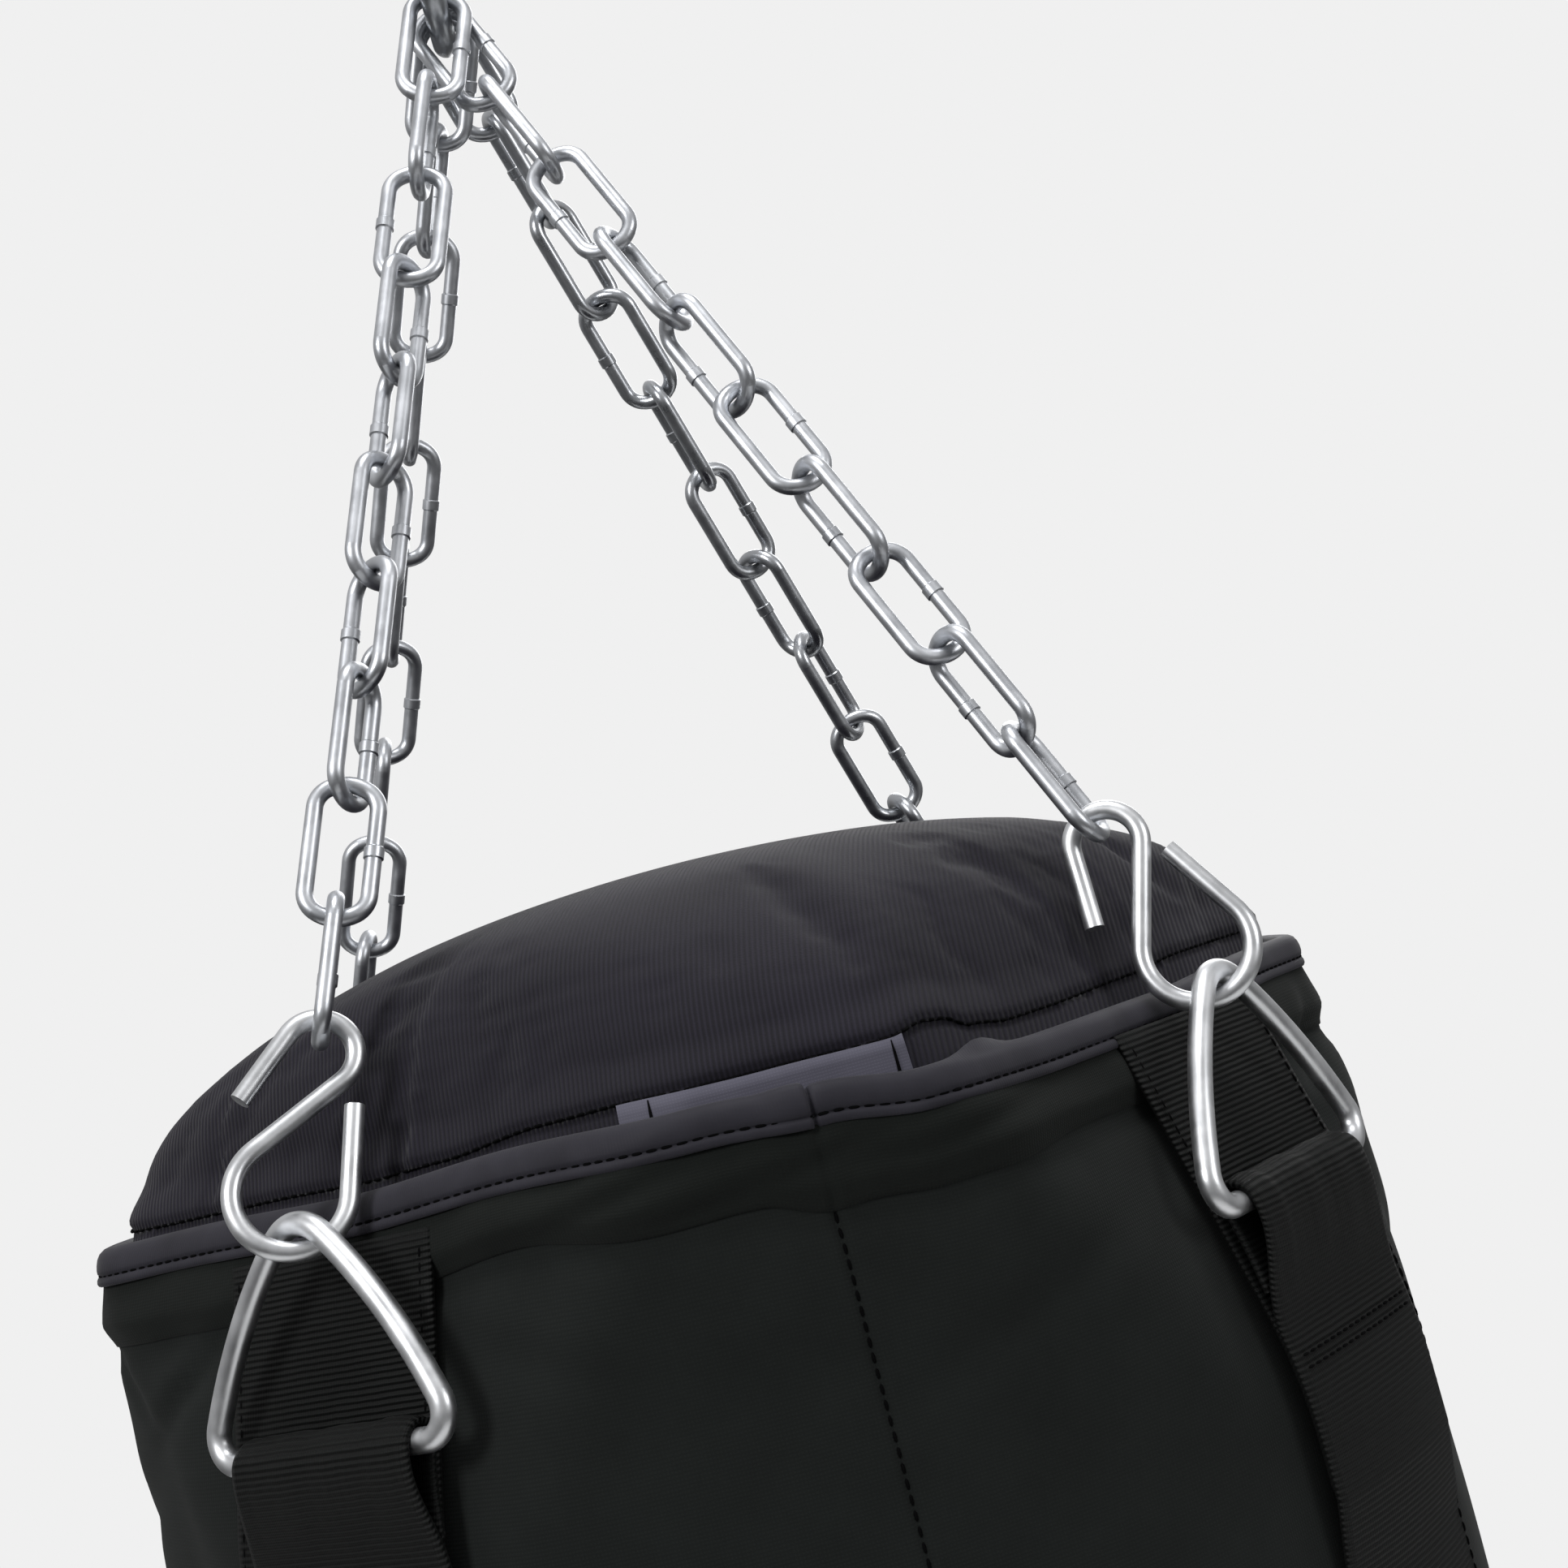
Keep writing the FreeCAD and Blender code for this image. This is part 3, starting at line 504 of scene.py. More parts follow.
@dataclass(frozen=True)
class RibbedWebbing(Finish):
    """Polypropylene webbing: round ribs across its width, each with a soft highlight, very dark between; the
    highlight and the dark are partly painted into its colour.
    """

    rib: float = 1.45
    depth: float = 0.5
    strength: float = 0.8
    sheen: float = 0.01
    sheen_roughness: float = 0.4
    specular: float = 0.13

    def pattern(self, tree: NodeTree, shader: Node) -> Pattern:
        """Ribs along V, threads along U.

        Args:
            tree: The tree that it goes into.
            shader: The material's shader.

        Returns:
            Tone and height.
        """
        place = add(tree, "ShaderNodeTexCoord").outputs["UV"]
        ribs = add(tree, "ShaderNodeTexWave", {
            "Vector": place, "Scale": bands(self.rib), "Distortion": 0.7, "Detail": 2.0, "Detail Scale": 0.6,
        }, wave_type="BANDS", bands_direction="Y").outputs["Fac"]
        threads = add(tree, "ShaderNodeTexWave",
                      {"Vector": place, "Scale": bands(self.rib * 0.45), "Distortion": 0.4},
                      wave_type="BANDS", bands_direction="X")
        wear = add(tree, "ShaderNodeTexNoise", {"Vector": place, "Scale": 90.0, "Detail": 4.0})
        # painted highlight and painted shade: the ribs' crowns are painted lighter and the grooves between
        # them darker, on top of their bump
        lay = add(tree, "ShaderNodeMath", {0: ribs, 1: 0.6}, operation="MULTIPLY").outputs[0]
        mixed = add(tree, "ShaderNodeMath", {0: wear.outputs["Fac"], 1: 0.5, 2: lay},
                    operation="MULTIPLY_ADD")
        height = add(tree, "ShaderNodeMath", {0: threads.outputs["Fac"], 1: 0.15, 2: ribs},
                     operation="MULTIPLY_ADD")
        return mixed.outputs[0], height.outputs[0]


@dataclass(frozen=True)
class Grained(Finish):
    """Any inner or small material with one grain: foam cells, rag fibres, moulded sheet, thread twist."""

    grain: float = 2.0

    def pattern(self, tree: NodeTree, shader: Node) -> Pattern:
        """Grain in colour and in relief.

        Args:
            tree: The tree that it goes into.
            shader: The material's shader.

        Returns:
            Tone and height.
        """
        place = add(tree, "ShaderNodeTexCoord").outputs["Object"]
        grain = add(tree, "ShaderNodeTexNoise",
                    {"Vector": place, "Scale": 1000 / self.grain, "Detail": 4.0, "Roughness": 0.6})
        return grain.outputs["Fac"], grain.outputs["Fac"]


class Wardrobe:
    """All the finishes, each built once."""

    def __init__(self) -> None:
        """Build every material."""
        self.bright_zinc = SatinZinc("zinc_plated_hook_wire", "#dcdddf", 0.37, "#a9abae").build()
        self.chain_zinc = SatinZinc("zinc_plated_welded_chain", "#cdcfd3", 0.38, "#979a9f").build()
        # painted shade: a darker copy of the chain zinc for the rear chain, standing in for the shade it
        # hangs in
        self.rear_zinc_painted_shade = SatinZinc("zinc_plated_chain_painted_shade", "#c2c4c8", 0.30, "#8a8d91").build()
        self.swivel_zinc = SatinZinc("zinc_plated_forged_swivel", "#b9bcc0", 0.33, "#74777c").build()
        self.body_cloth = PlainWeave("woven_polyester_shell", "#181b1a", 0.92, "#090b0a").build()
        self.header_cloth = PlainWeave("woven_polyester_hem", "#121513", 0.90, "#070908").build()
        self.cap_cloth = FineTwill("polyester_twill_cap", "#1e1c25", 0.86, "#08070a").build()
        self.tape = FoldedTape("polyester_binding_tape", "#2d2c33", 0.66, "#141318").build()
        self.lining = PlainWeave(
            "nylon_lining_patch", "#53525d", 0.75, "#3c3b45", thread=0.7, depth=0.05
        ).build()
        self.webbing = RibbedWebbing("ribbed_polypropylene_webbing", "#080a09", 0.62, "#010101").build()
        self.thread = Grained(
            "bonded_nylon_thread", "#040405", 0.9, "#010101", specular=0.06, grain=0.5, depth=0.1
        ).build()
        self.foam = Grained("closed_cell_foam", "#c4c4bf", 0.9, "#9a9a94", grain=1.2, depth=0.4).build()
        self.textile = Grained(
            "packed_textile_offcuts", "#8d8a86", 0.95, "#4a4744", grain=9.0, depth=3.0
        ).build()
        self.board = Grained("extruded_base_sheet", "#1c1c1c", 0.5, "#141414", grain=1.5, depth=0.1).build()
        self.spring = Grained(
            "drawn_spring_wire", "#9a9a9c", 0.35, "#7c7c80", metallic=1.0, grain=0.6, depth=0.02
        ).build()


def dress(obj: Object, material: Material) -> None:
    """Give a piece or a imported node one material."""
    obj.data.materials.clear()
    obj.data.materials.append(material)


def dress_nodes(finishes: dict[str, Material]) -> None:
    """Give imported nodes, by name, their materials.

    Args:
        finishes: Node name to material.
    """
    for name, material in finishes.items():
        dress(frame["nodes"][name], material)
        LOG.info("%s: %s", name, material.name)


def settle(
    obj: Object, material: Material, nodes: Sequence[str] = ()
) -> Object:
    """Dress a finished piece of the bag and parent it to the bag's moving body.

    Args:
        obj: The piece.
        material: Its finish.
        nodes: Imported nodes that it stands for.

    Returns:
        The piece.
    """
    dress(obj, material)
    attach(obj, BAG)
    if nodes:
        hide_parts(*nodes)
    LOG.info("%s: %d faces, rides on %s", obj.name, len(obj.data.polygons), BAG)
    return obj


# ---------------------------------------------------------------- the bag's form


@dataclass
class BagForm:
    """Outer face of the cloth: a round drum whose mouth the four straps pull in to flats."""

    flat: float = 144.0          # distance of the flats from the axis at the rim
    slope: float = 0.29          # how fast a flat runs out into the drum
    soft: float = 5.0            # rounding between flat and drum
    seam: float = 6.0            # azimuth of the side seam
    rim: float = field(init=False)
    base: float = field(init=False)
    radius: float = field(init=False)
    legs: dict[str, float] = field(init=False)
    # the rim waves: it stands higher at the left of the front and sags past the seam
    lift: Profile = (
        (-180, 1.0), (-100, 2.5), (-62, 3.8), (-40, 2.6), (-17, 5.0), (-2, 4.2), (7, 2.4), (15, -0.6),
        (30, -1.6), (51, -1.4), (75, 1.0), (110, 1.5), (141, 0.0), (180, 1.0),
    )
    # the mouth is squeezed a little at the right, where the cloth folds back behind the strap
    squeeze: Profile = (
        (-180, 0.0), (-114, 0.0), (-92, 1.0), (-66, 0.0), (64, 0.0), (84, -5.5), (104, -3.0), (116, 0.0),
        (180, 0.0),
    )
    # below it the filling bulges between the two left straps and lies flatter between the right ones
    bulge: Profile = (
        (-180, 0.0), (-116, 0.0), (-102, 6.5), (-90, 9.0), (-78, 6.5), (-64, 0.0), (64, 0.0), (76, -0.8),
        (90, -1.0), (103, -0.8), (116, 0.0), (180, 0.0),
    )

    def __post_init__(self) -> None:
        """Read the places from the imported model."""
        low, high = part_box("bag_shell")
        self.rim, self.base = high.z / MM, low.z / MM
        self.radius = high.x / MM
        self.legs = {}
        for leg in LEGS:
            x, y, _ = JOINTS[f"ring_rock_{leg}"]["pos_m"]
            self.legs[leg] = math.degrees(math.atan2(x, -y))

    def girth(self, azimuth: np.ndarray) -> np.ndarray:
        """Distance round the cloth from the front."""
        return azimuth * math.radians(1) * self.radius

    def flatten(
        self, out: np.ndarray, azimuth: np.ndarray, flat: np.ndarray, soft: float | np.ndarray
    ) -> np.ndarray:
        """Cut four flats off a round, one behind each strap.

        Args:
            out: Distances of the round from the axis.
            azimuth: Degrees.
            flat: Distances of the flats from the axis.
            soft: Rounding between the flats and the round.

        Returns:
            Distances.
        """
        for leg in self.legs.values():
            off = apart(azimuth, leg)
            near = np.abs(off) < FLAT_REACH
            face = flat / np.cos(np.radians(np.where(near, off, 0)))
            out = np.where(near, smooth_min(out, face, soft), out)
        return out

    def reach(
        self, azimuth: np.ndarray, drop: np.ndarray, offset: float | np.ndarray = 0.0
    ) -> np.ndarray:
        """Distance from the axis to the cloth.

        Args:
            azimuth: Degrees.
            drop: Below the rim.
            offset: Outward from the shell's outer face.

        Returns:
            Distances.
        """
        drop = np.maximum(drop, -ABOVE_RIM)
        out = self.radius + offset + 0.0 * azimuth + 0.0 * drop
        out = self.flatten(out, azimuth, self.flat + self.slope * drop + offset, self.soft)
        turn = azimuth + 0.0 * drop
        mouth = around(self.squeeze, turn) * (1 - ease(drop, 4, 44))
        swell = ease(drop, -10, 30) * (1 - ease(drop, 240, 620))
        return out + mouth + around(self.bulge, turn) * swell

    def rim_height(self, azimuth: np.ndarray) -> np.ndarray:
        """How far the rim stands above its mean height."""
        return around(self.lift, azimuth)

    def surface(self, azimuth: np.ndarray, drop: np.ndarray, offset: float | np.ndarray = 0.0) -> np.ndarray:
        """Places on the cloth.

        Args:
            azimuth: Degrees.
            drop: Below the rim, which itself rises and falls.
            offset: Outward from the shell's outer face.

        Returns:
            Places in millimetres.
        """
        fade = 1 - ease(drop, 8, 75)
        height = self.rim - drop + self.rim_height(azimuth) * fade
        return polar(azimuth, self.reach(azimuth, np.maximum(drop, -4.0), offset), height)


def rim_azimuths(step: float, fine: Sequence[tuple[float, float, float]] = ()) -> np.ndarray:
    """Azimuths all the way round, closer together where asked.

    Args:
        step: Usual step in degrees.
        fine: (centre, half width, step) of closer stretches.

    Returns:
        Rising azimuths from -180, without 180.
    """
    usual = np.arange(-180.0, 180.0, step)
    for centre, half, close in fine:
        usual = usual[np.abs(usual - centre) > half]
        usual = np.concatenate([usual, np.arange(centre - half, centre + half + close / 2, close)])
    return np.unique(np.round(usual, 4))


@dataclass(frozen=True)
class Crease:
    """One soft fold pressed into the cloth: its middle, its size and its slant."""

    azimuth: float
    drop: float
    length: float
    width: float
    depth: float
    slant: float = 0.0   # degrees from level, rising with azimuth

    def relief(self, azimuth: np.ndarray, drop: np.ndarray, radius: float) -> np.ndarray:
        """Outward displacement, negative in the fold.

        Args:
            azimuth: Degrees.
            drop: Below the rim.
            radius: Turns azimuths into lengths.

        Returns:
            Displacement in millimetres.
        """
        x = np.radians(apart(azimuth, self.azimuth)) * radius
        y = self.drop - drop
        c, s = math.cos(math.radians(self.slant)), math.sin(math.radians(self.slant))
        along, across = x * c + y * s, y * c - x * s
        bow = across - 0.00002 * along**2 * self.length
        body = np.exp(-((along / (0.5 * self.length)) ** 2))
        valley = np.exp(-((bow / (0.35 * self.width)) ** 2))
        ridge = np.exp(-(((bow - 0.75 * self.width) / (0.45 * self.width)) ** 2))
        return body * self.depth * (0.55 * ridge - valley)


@dataclass
class Shell:
    """The filled cloth tube, its hem under the rim and its side seam."""

    form: BagForm
    wall: float = 2.0
    corner: float = 18.0
    lumpiness: float = 1.1
    hem_top: float = 5.0
    hem_out: float = 1.9
    fold_depth: float = 1.1  # how far the cloth is drawn in under the hem's foot
    seam_depth: float = 0.9
    seam_width: float = 2.2
    # drop of the hem's foot
    hem_foot: Profile = (
        (-180, 24.0), (-60, 23.0), (-32, 21.5), (-19, 19.5), (-7, 22.5), (1, 22.0), (6, 25.5),
        (11, 24.5), (19, 24.0), (30, 21.0), (60, 23.5), (180, 24.0),
    )
    # azimuth, drop, length, width, depth and slant of each
    creases: tuple[tuple[float, ...], ...] = (
        (-9, 13, 70, 7, 1.5, 14), (0, 18, 60, 6, 1.3, 10), (18, 14, 60, 7, 1.4, 8),
        (-22, 40, 60, 12, 1.0, -18), (24, 52, 80, 16, 1.0, 22), (-4, 60, 90, 22, 0.8, 6),
        (62, 34, 40, 9, 1.6, -30), (74, 26, 34, 8, 1.8, 40), (-62, 34, 36, 9, 1.6, 35),
        (-74, 30, 36, 8, 1.6, -40), (-80, 70, 60, 16, 1.2, 25),
        (78, 84, 70, 18, 1.2, -30), (95, 20, 70, 7, 1.4, 8), (110, 44, 60, 13, 1.2, -20),
        (170, 18, 70, 7, 1.5, -8), (-172, 48, 70, 14, 1.2, 16), (-160, 26, 50, 8, 1.3, -18),
        (-100, 20, 60, 7, 1.4, -8), (-108, 52, 60, 14, 1.2, 20), (20, 930, 90, 14, 1.2, 4),
        (-70, 950, 90, 12, 1.2, -6), (120, 940, 90, 14, 1.2, 5), (-150, 945, 90, 12, 1.2, 3),
        (60, 500, 120, 24, 0.9, 12), (-10, 620, 140, 26, 0.9, -8), (150, 420, 120, 24, 0.9, 10),
        (-110, 700, 130, 24, 0.9, -6),
    )

    def relief(self, azimuth: np.ndarray, drop: np.ndarray) -> np.ndarray:
        """How far the cloth stands out from the plain form.

        Args:
            azimuth: Degrees.
            drop: Below the rim.

        Returns:
            Outward displacement in millimetres.
        """
        form, radius = self.form, self.form.radius
        across = np.radians(azimuth) * radius
        ahead, aside = np.cos(np.radians(azimuth)) * radius, np.sin(np.radians(azimuth)) * radius
        out = self.lumpiness * lumps(aside, drop * 0.7 + ahead, 75, 3.1)
        out += 0.45 * lumps(across * 0.6, drop, 26, 8.3) * ease(drop, 5, 40)
        for crease in self.creases:
            out += Crease(*crease).relief(azimuth, drop, radius)
        strapped = np.zeros_like(out)
        for leg in form.legs.values():
            strapped = np.maximum(strapped, 1 - ease(np.abs(apart(azimuth, leg)), 12.5, 17))
        out = out * (1 - strapped) - 0.5 * strapped
        out *= ease(drop, -1, 14)
        out -= self.fold_depth * hump(drop - around(self.hem_foot, azimuth), 2.5, 6.5)
        seam = apart(azimuth, form.seam) * math.radians(1) * radius
        pucker = 0.25 * lumps(drop, 0, 9, 2.2)
        lips = 0.55 * hump(seam - 2.4, 0, 4.5) + 0.35 * hump(seam + 2.6, 0, 5) + pucker * hump(seam, 0, 12)
        out += lips * ease(drop, 4, 12)
        out -= self.seam_depth * hump(seam, 0, self.seam_width) * ease(drop, 4, 10)
        length = form.rim - form.base
        return out * (1 - ease(drop, length - 30, length - 8))

    def tube(self) -> Object:
        """The outer cloth with its inner face at the mouth and its turned-in foot.

        Returns:
            The piece.
        """
        form, corner = self.form, self.corner
        azimuth = rim_azimuths(1.0, [(form.seam, 2.4, 0.16)])
        length = form.rim - form.base
        girth = form.girth(all_round(azimuth))
        rows = Rows()
        for drop in (40.0, 28.0, 16.0, 6.0, 1.5):
            rows.add(form.surface(azimuth, drop, -self.wall), girth, -drop)
        steps = ((0, 150, 2.5), (150, 280, 5.0), (280, length - corner, 14.0))
        for drop in np.concatenate([np.arange(*step) for step in steps]):
            lift = self.relief(azimuth, drop) - (0.8 if drop < 1 else 0.0)
            rows.add(form.surface(azimuth, drop, lift), girth, drop)
        for angle in np.linspace(0, 90, 9):
            a = math.radians(angle)
            r = form.radius - corner + corner * math.cos(a)
            z = form.base + corner - corner * math.sin(a)
            rows.add(polar(azimuth, r, z), girth, length - corner + corner * a)
        for z in (0.0, 1.6):
            rows.add(polar(azimuth, form.radius - corner - 6, form.base + z), girth, length + 20 + z)
        return rows.piece("shell_cloth")

    def hem(self) -> Object:
        """Doubled cloth under the tape: it stands proud and pinches in along its lower edge.

        Returns:
            The piece.
        """
        form = self.form
        azimuth = rim_azimuths(1.0, [(form.seam, 2.4, 0.16)])
        girth = form.girth(all_round(azimuth))
        foot = around(self.hem_foot, azimuth)
        rows = Rows()
        for t in np.linspace(0, 1, 15):
            drop = self.hem_top + (foot - self.hem_top) * t
            ripple = 0.7 * lumps(azimuth * 3.0, t * 20, 26, 5.5)
            ripple = ripple * math.sin(math.pi * min(1, t * 1.2))
            swell = self.hem_out + 0.9 * math.sin(math.pi * t) + ripple
            swell = swell * (1 - 0.78 * float(ease(t, 0.66, 1.0)))
            rows.add(form.surface(azimuth, drop, self.relief(azimuth, drop) * 0.8 + swell), girth, t * 22)
        rows.add(form.surface(azimuth, foot + 0.3, self.relief(azimuth, foot) * 0.8 - 0.3), girth, 24.0)
        return rows.piece("hem_cloth")

    def build(self, looks: Wardrobe) -> None:
        """Make and dress the tube and its hem."""
        settle(self.tube(), looks.body_cloth, ["bag_shell"])
        settle(self.hem(), looks.header_cloth, ["header_band"])


@dataclass
class Binding:
    """Tape folded over the rim, its ends butted at the side seam."""

    form: BagForm
    lap: float = 1.0         # how far the upper end stands over the lower one
    lap_length: float = 4.0  # degrees
    turned_end: float = 2.7  # the inner ply's end stands up right of the patch
    # (outward, up) round the tape's section, from its inner edge over the rim and back inside it
    section: tuple[tuple[float, float], ...] = (
        (-3.35, -7.5), (-3.5, -4.0), (-3.35, -0.5), (-2.7, 1.2), (-1.5, 1.95), (0.0, 2.15), (1.4, 1.85),
        (2.6, 1.0), (3.25, -0.3), (3.5, -1.8), (3.5, -3.2), (3.25, -4.2), (2.75, -4.55), (2.7, -4.85),
        (3.15, -5.1), (3.4, -5.7), (3.35, -6.6), (2.9, -7.3), (2.2, -7.4), (2.0, -5.0), (1.95, 0.0),
        (0.0, 0.9), (-2.0, 0.0), (-2.1, -7.3),
    )

    def tape(self) -> Object:
        """The swept tape.

        Returns:
            The piece.
        """
        form = self.form
        azimuth = rim_azimuths(1.0, [(form.seam, 4.6, 0.12)])
        girth = form.girth(all_round(azimuth))
        side = apart(azimuth, form.seam)
        lapped = self.lap * ease(side, -self.lap_length, -self.lap_length + 3.0) * (side < 0)
        notch = 1.1 * hump(side, 0.12, 0.5)
        crush = 0.35 * lumps(azimuth * 3, 0, 17, 6.6)
        crush = crush + 0.2 * lumps(azimuth * 3, 0, 6, 9.6)
        section = np.array([*self.section, self.section[0]])
        rows = Rows()
        for (out, up), run in zip(section, along(section)):
            outer = 1.0 if out > 0.5 else 0.35
            swell = (lapped + crush * 0.6) * outer - notch * outer * (out > 2.3)
            point = form.surface(azimuth, -up, out + swell)
            point[:, 2] += (lapped * 0.9 - notch * 0.8) * (up > 0.5)
            point[:, 2] += self.turned_end * hump(azimuth, 21.5, 5.0) * (out < 0.6) * (up > -1.0)
            rows.add(point, girth, run)
        return rows.piece("binding_tape")

    def build(self, looks: Wardrobe) -> None:
        """Make and dress the tape."""
        settle(self.tape(), looks.tape, ["rim_binding"])


# ---------------------------------------------------------------- the padded cap


@dataclass
class Cap:
    """Padded dome laced inside the rim: dome, skirt, stitch line and the grey closure patch."""

    form: BagForm
    inset: float = 5.6
    skirt: float = 26.0
    rise: float = 60.5
    pad_inset: float = 3.2
    fullness: float = 0.98
    lean_soft: float = 30.0
    stitch_line: Profile = (
        (-180, 7.0), (-90, 8.0), (-56, 7.5), (-40, 6.6), (-30, 7.4), (-16, 10.2), (-8, 10.6), (4, 9.9),
        (14, 9.4), (17.5, 10.9), (20, 10.2), (23.5, 6.8), (29, 5.2), (36, 5.2), (53, 6.2), (66, 7.8),
        (120, 7.0), (180, 7.0),
    )
    # azimuth, depth and lean of each fold that runs up from the stitch line
    folds: tuple[tuple[float, float, float], ...] = (
        (-35.5, 1.6, 4.0), (-64.5, 1.3, -5.0), (46.0, 0.9, -4.0), (58.0, 0.7, 4.0), (137.0, 2.0, -4.0),
        (-133.0, 2.0, 4.0),
    )
    patch_from: float = -8.4
    patch_to: float = 15.2
    voxel: float = 5.0
    pressure: float = 4.0
    puff: float = 5.5      # most that the simulation may move the cloth
    frames: int = 20
    degree: float = 2.9    # cloth to a degree of the rim
    middle: float = 40.0   # the dome swells outward from this far below the rim
    rows: np.ndarray = field(init=False, repr=False)

    def seam_height(self, azimuth: np.ndarray) -> np.ndarray:
        """Height of the stitch line above the mean rim."""
        return around(self.stitch_line, azimuth)

    def dome(self, azimuth: np.ndarray, share: float, shrink: float = 0.0) -> np.ndarray:
        """Places on the plain dome.

        Args:
            azimuth: Degrees.
            share: 0 at the stitch line, 1 at the crown.
            shrink: Inset of the whole dome.

        Returns:
            Places in millimetres.
        """
        form = self.form
        a = share * math.pi / 2
        foot = self.seam_height(azimuth)
        up = foot + (self.rise + 7 - foot - shrink) * np.sin(a) ** 0.97
        out = (form.radius - self.inset - shrink) * np.cos(a) ** self.fullness
        flat = form.flat - form.slope * up * 0.9 - self.inset - shrink
        out = form.flatten(out, azimuth, flat, self.lean_soft * (0.25 + share))
        out = out + around(form.squeeze, azimuth) * (1 - share) ** 3
        return polar(azimuth, np.maximum(out, 0.0), form.rim + up)

    def inflated(self) -> BVHTree | None:
        """The dome's cloth after its padding has pressed it out.
        """
        azimuth = rim_azimuths(3.0)
        slack = 3.0  # the simulated dome starts this much smaller
        rows = [self.dome(azimuth, share, slack) for share in np.linspace(0, 0.995, 26)]
        lower = rows[0].copy()
        lower[:, 2] = self.form.rim - self.skirt
        points = np.array([lower, *rows])
        cloth = np.zeros((points.shape[0], points.shape[1] + 1, 2))
        body = grid_object("cap_simulation", points, cloth, closed=True, capped=True)
        remesh = body.modifiers.new("remesh", "REMESH")
        remesh.mode, remesh.voxel_size, remesh.use_smooth_shade = "VOXEL", self.voxel * MM, True
        bpy.context.view_layer.update()
        graph = bpy.context.evaluated_depsgraph_get()
        solid = bpy.data.meshes.new_from_object(body.evaluated_get(graph))
        body.modifiers.clear()
        body.data = solid
        start = np.array([v.co for v in solid.vertices])
        held = body.vertex_groups.new(name="held")
        limit = (self.form.rim + 6.0) * MM
        held.add([int(i) for i in np.flatnonzero(start[:, 2] < limit)], 1.0, "REPLACE")
        modifier = body.modifiers.new("cloth", "CLOTH")
        settings = modifier.settings
        settings.vertex_group_mass = "held"
        settings.use_pressure, settings.uniform_pressure_force = True, self.pressure
        settings.effector_weights.gravity = 0.0
        settings.shrink_min = -0.006
        settings.quality = 5
        modifier.point_cache.frame_start, modifier.point_cache.frame_end = 1, self.frames
        scene = bpy.context.scene
        for number in range(1, self.frames + 1):
            scene.frame_set(number)
        graph = bpy.context.evaluated_depsgraph_get()
        done = bpy.data.meshes.new_from_object(body.evaluated_get(graph))
        moved = np.array([v.co for v in done.vertices]) - start
        reach = np.linalg.norm(moved, axis=1)[:, None]
        capped = start + moved * np.minimum(1.0, self.puff * MM / np.maximum(reach, 1e-9))
        LOG.info("cap cloth moved %.1f mm on average, %.1f at most", reach.mean() / MM, reach.max() / MM)
        tree = BVHTree.FromPolygons([Vector(p) for p in capped], [tuple(p.vertices) for p in done.polygons])
        scene.frame_set(1)
        bpy.data.objects.remove(body)
        return tree

    def detail(self, azimuth: np.ndarray, share: float) -> np.ndarray:
        """Folds pressed into the dome near its stitch line.

        Args:
            azimuth: Degrees.
            share: 0 at the stitch line, 1 at the crown.

        Returns:
            Outward displacement in millimetres.
        """
        across = azimuth * 3.0
        gathers = 0.55 * lumps(across, 0, 13, 1.7) + 0.3 * lumps(across, 0, 6, 4.7)
        out = gathers * math.exp(-share * 13)
        swells = 0.6 * lumps(across * 0.5, share * 160, 42, 7.7)
        out = out + swells * math.sin(math.pi * min(1, share * 1.4 + 0.05))
        fade = math.exp(-((share / 0.42) ** 2))
        for centre, depth, lean in self.folds:
            line = apart(azimuth, centre + lean * share) * self.degree
            out = out + depth * fade * (0.6 * hump(line, 4.2, 7.5) - hump(line, 0, 4.2))
        return out

    def cover(self) -> Object:
        """Skirt and dome in one cloth.

        Returns:
            The piece.
        """
        form = self.form
        tree = self.inflated()
        azimuth = rim_azimuths(1.0)
        girth = all_round(azimuth) * self.degree
        rows = Rows()
        seam = self.seam_height(azimuth)
        for t in (0.0, 0.35, 0.7, 0.93, 1.0):
            height = -self.skirt + (seam + self.skirt) * t
            inset = self.inset + (0.5 if t < 0.95 else 1.1)
            rows.add(polar(azimuth, form.reach(azimuth, -height, -inset), form.rim + height), girth, t * 30)
        eye = Vector((0, 0, (form.rim - 12) * MM))  # inside the padded form
        run = 30.0
        for share in (0.0, 0.008, 0.018, 0.03, *np.linspace(0.045, 1.0, 64)):
            plain = self.dome(azimuth, share)
            weight = float(ease(share, 0.02, 0.12))
            if tree is not None and 0.03 < share < 0.999:
                for k, p in enumerate(plain):
                    hit = tree.ray_cast(eye, (Vector(p) * MM - eye).normalized())[0]
                    if hit is not None:
                        plain[k] = p * (1 - weight) + np.array(hit) / MM * weight
            push = self.detail(azimuth, float(share)) + (0.9 * ease(share, 0.0, 0.02) - 0.9)
            outward = plain - np.array([0, 0, form.rim - self.middle])
            outward /= np.linalg.norm(outward, axis=1)[:, None]
            run += 2.6
            rows.add(plain + outward * push[:, None] * min(1.0, 12 * (1 - share)), girth, run)
        self.rows = np.array(rows.points)
        return rows.piece("cap_twill")

    def pad(self) -> Object:
        """Foam under the cover: the cover's own form, a little smaller, closed below.

        Returns:
            The piece.
        """
        middle = np.array([0.0, 0.0, self.form.rim - self.middle])
        rows = self.rows[:-1:3, ::3] - middle
        reach = np.linalg.norm(rows, axis=2, keepdims=True)
        rows = middle + rows * (1 - self.pad_inset / reach)
        cloth = np.zeros((rows.shape[0], rows.shape[1] + 1, 2))
        return grid_object("cap_foam", rows, cloth, closed=True, capped=True)

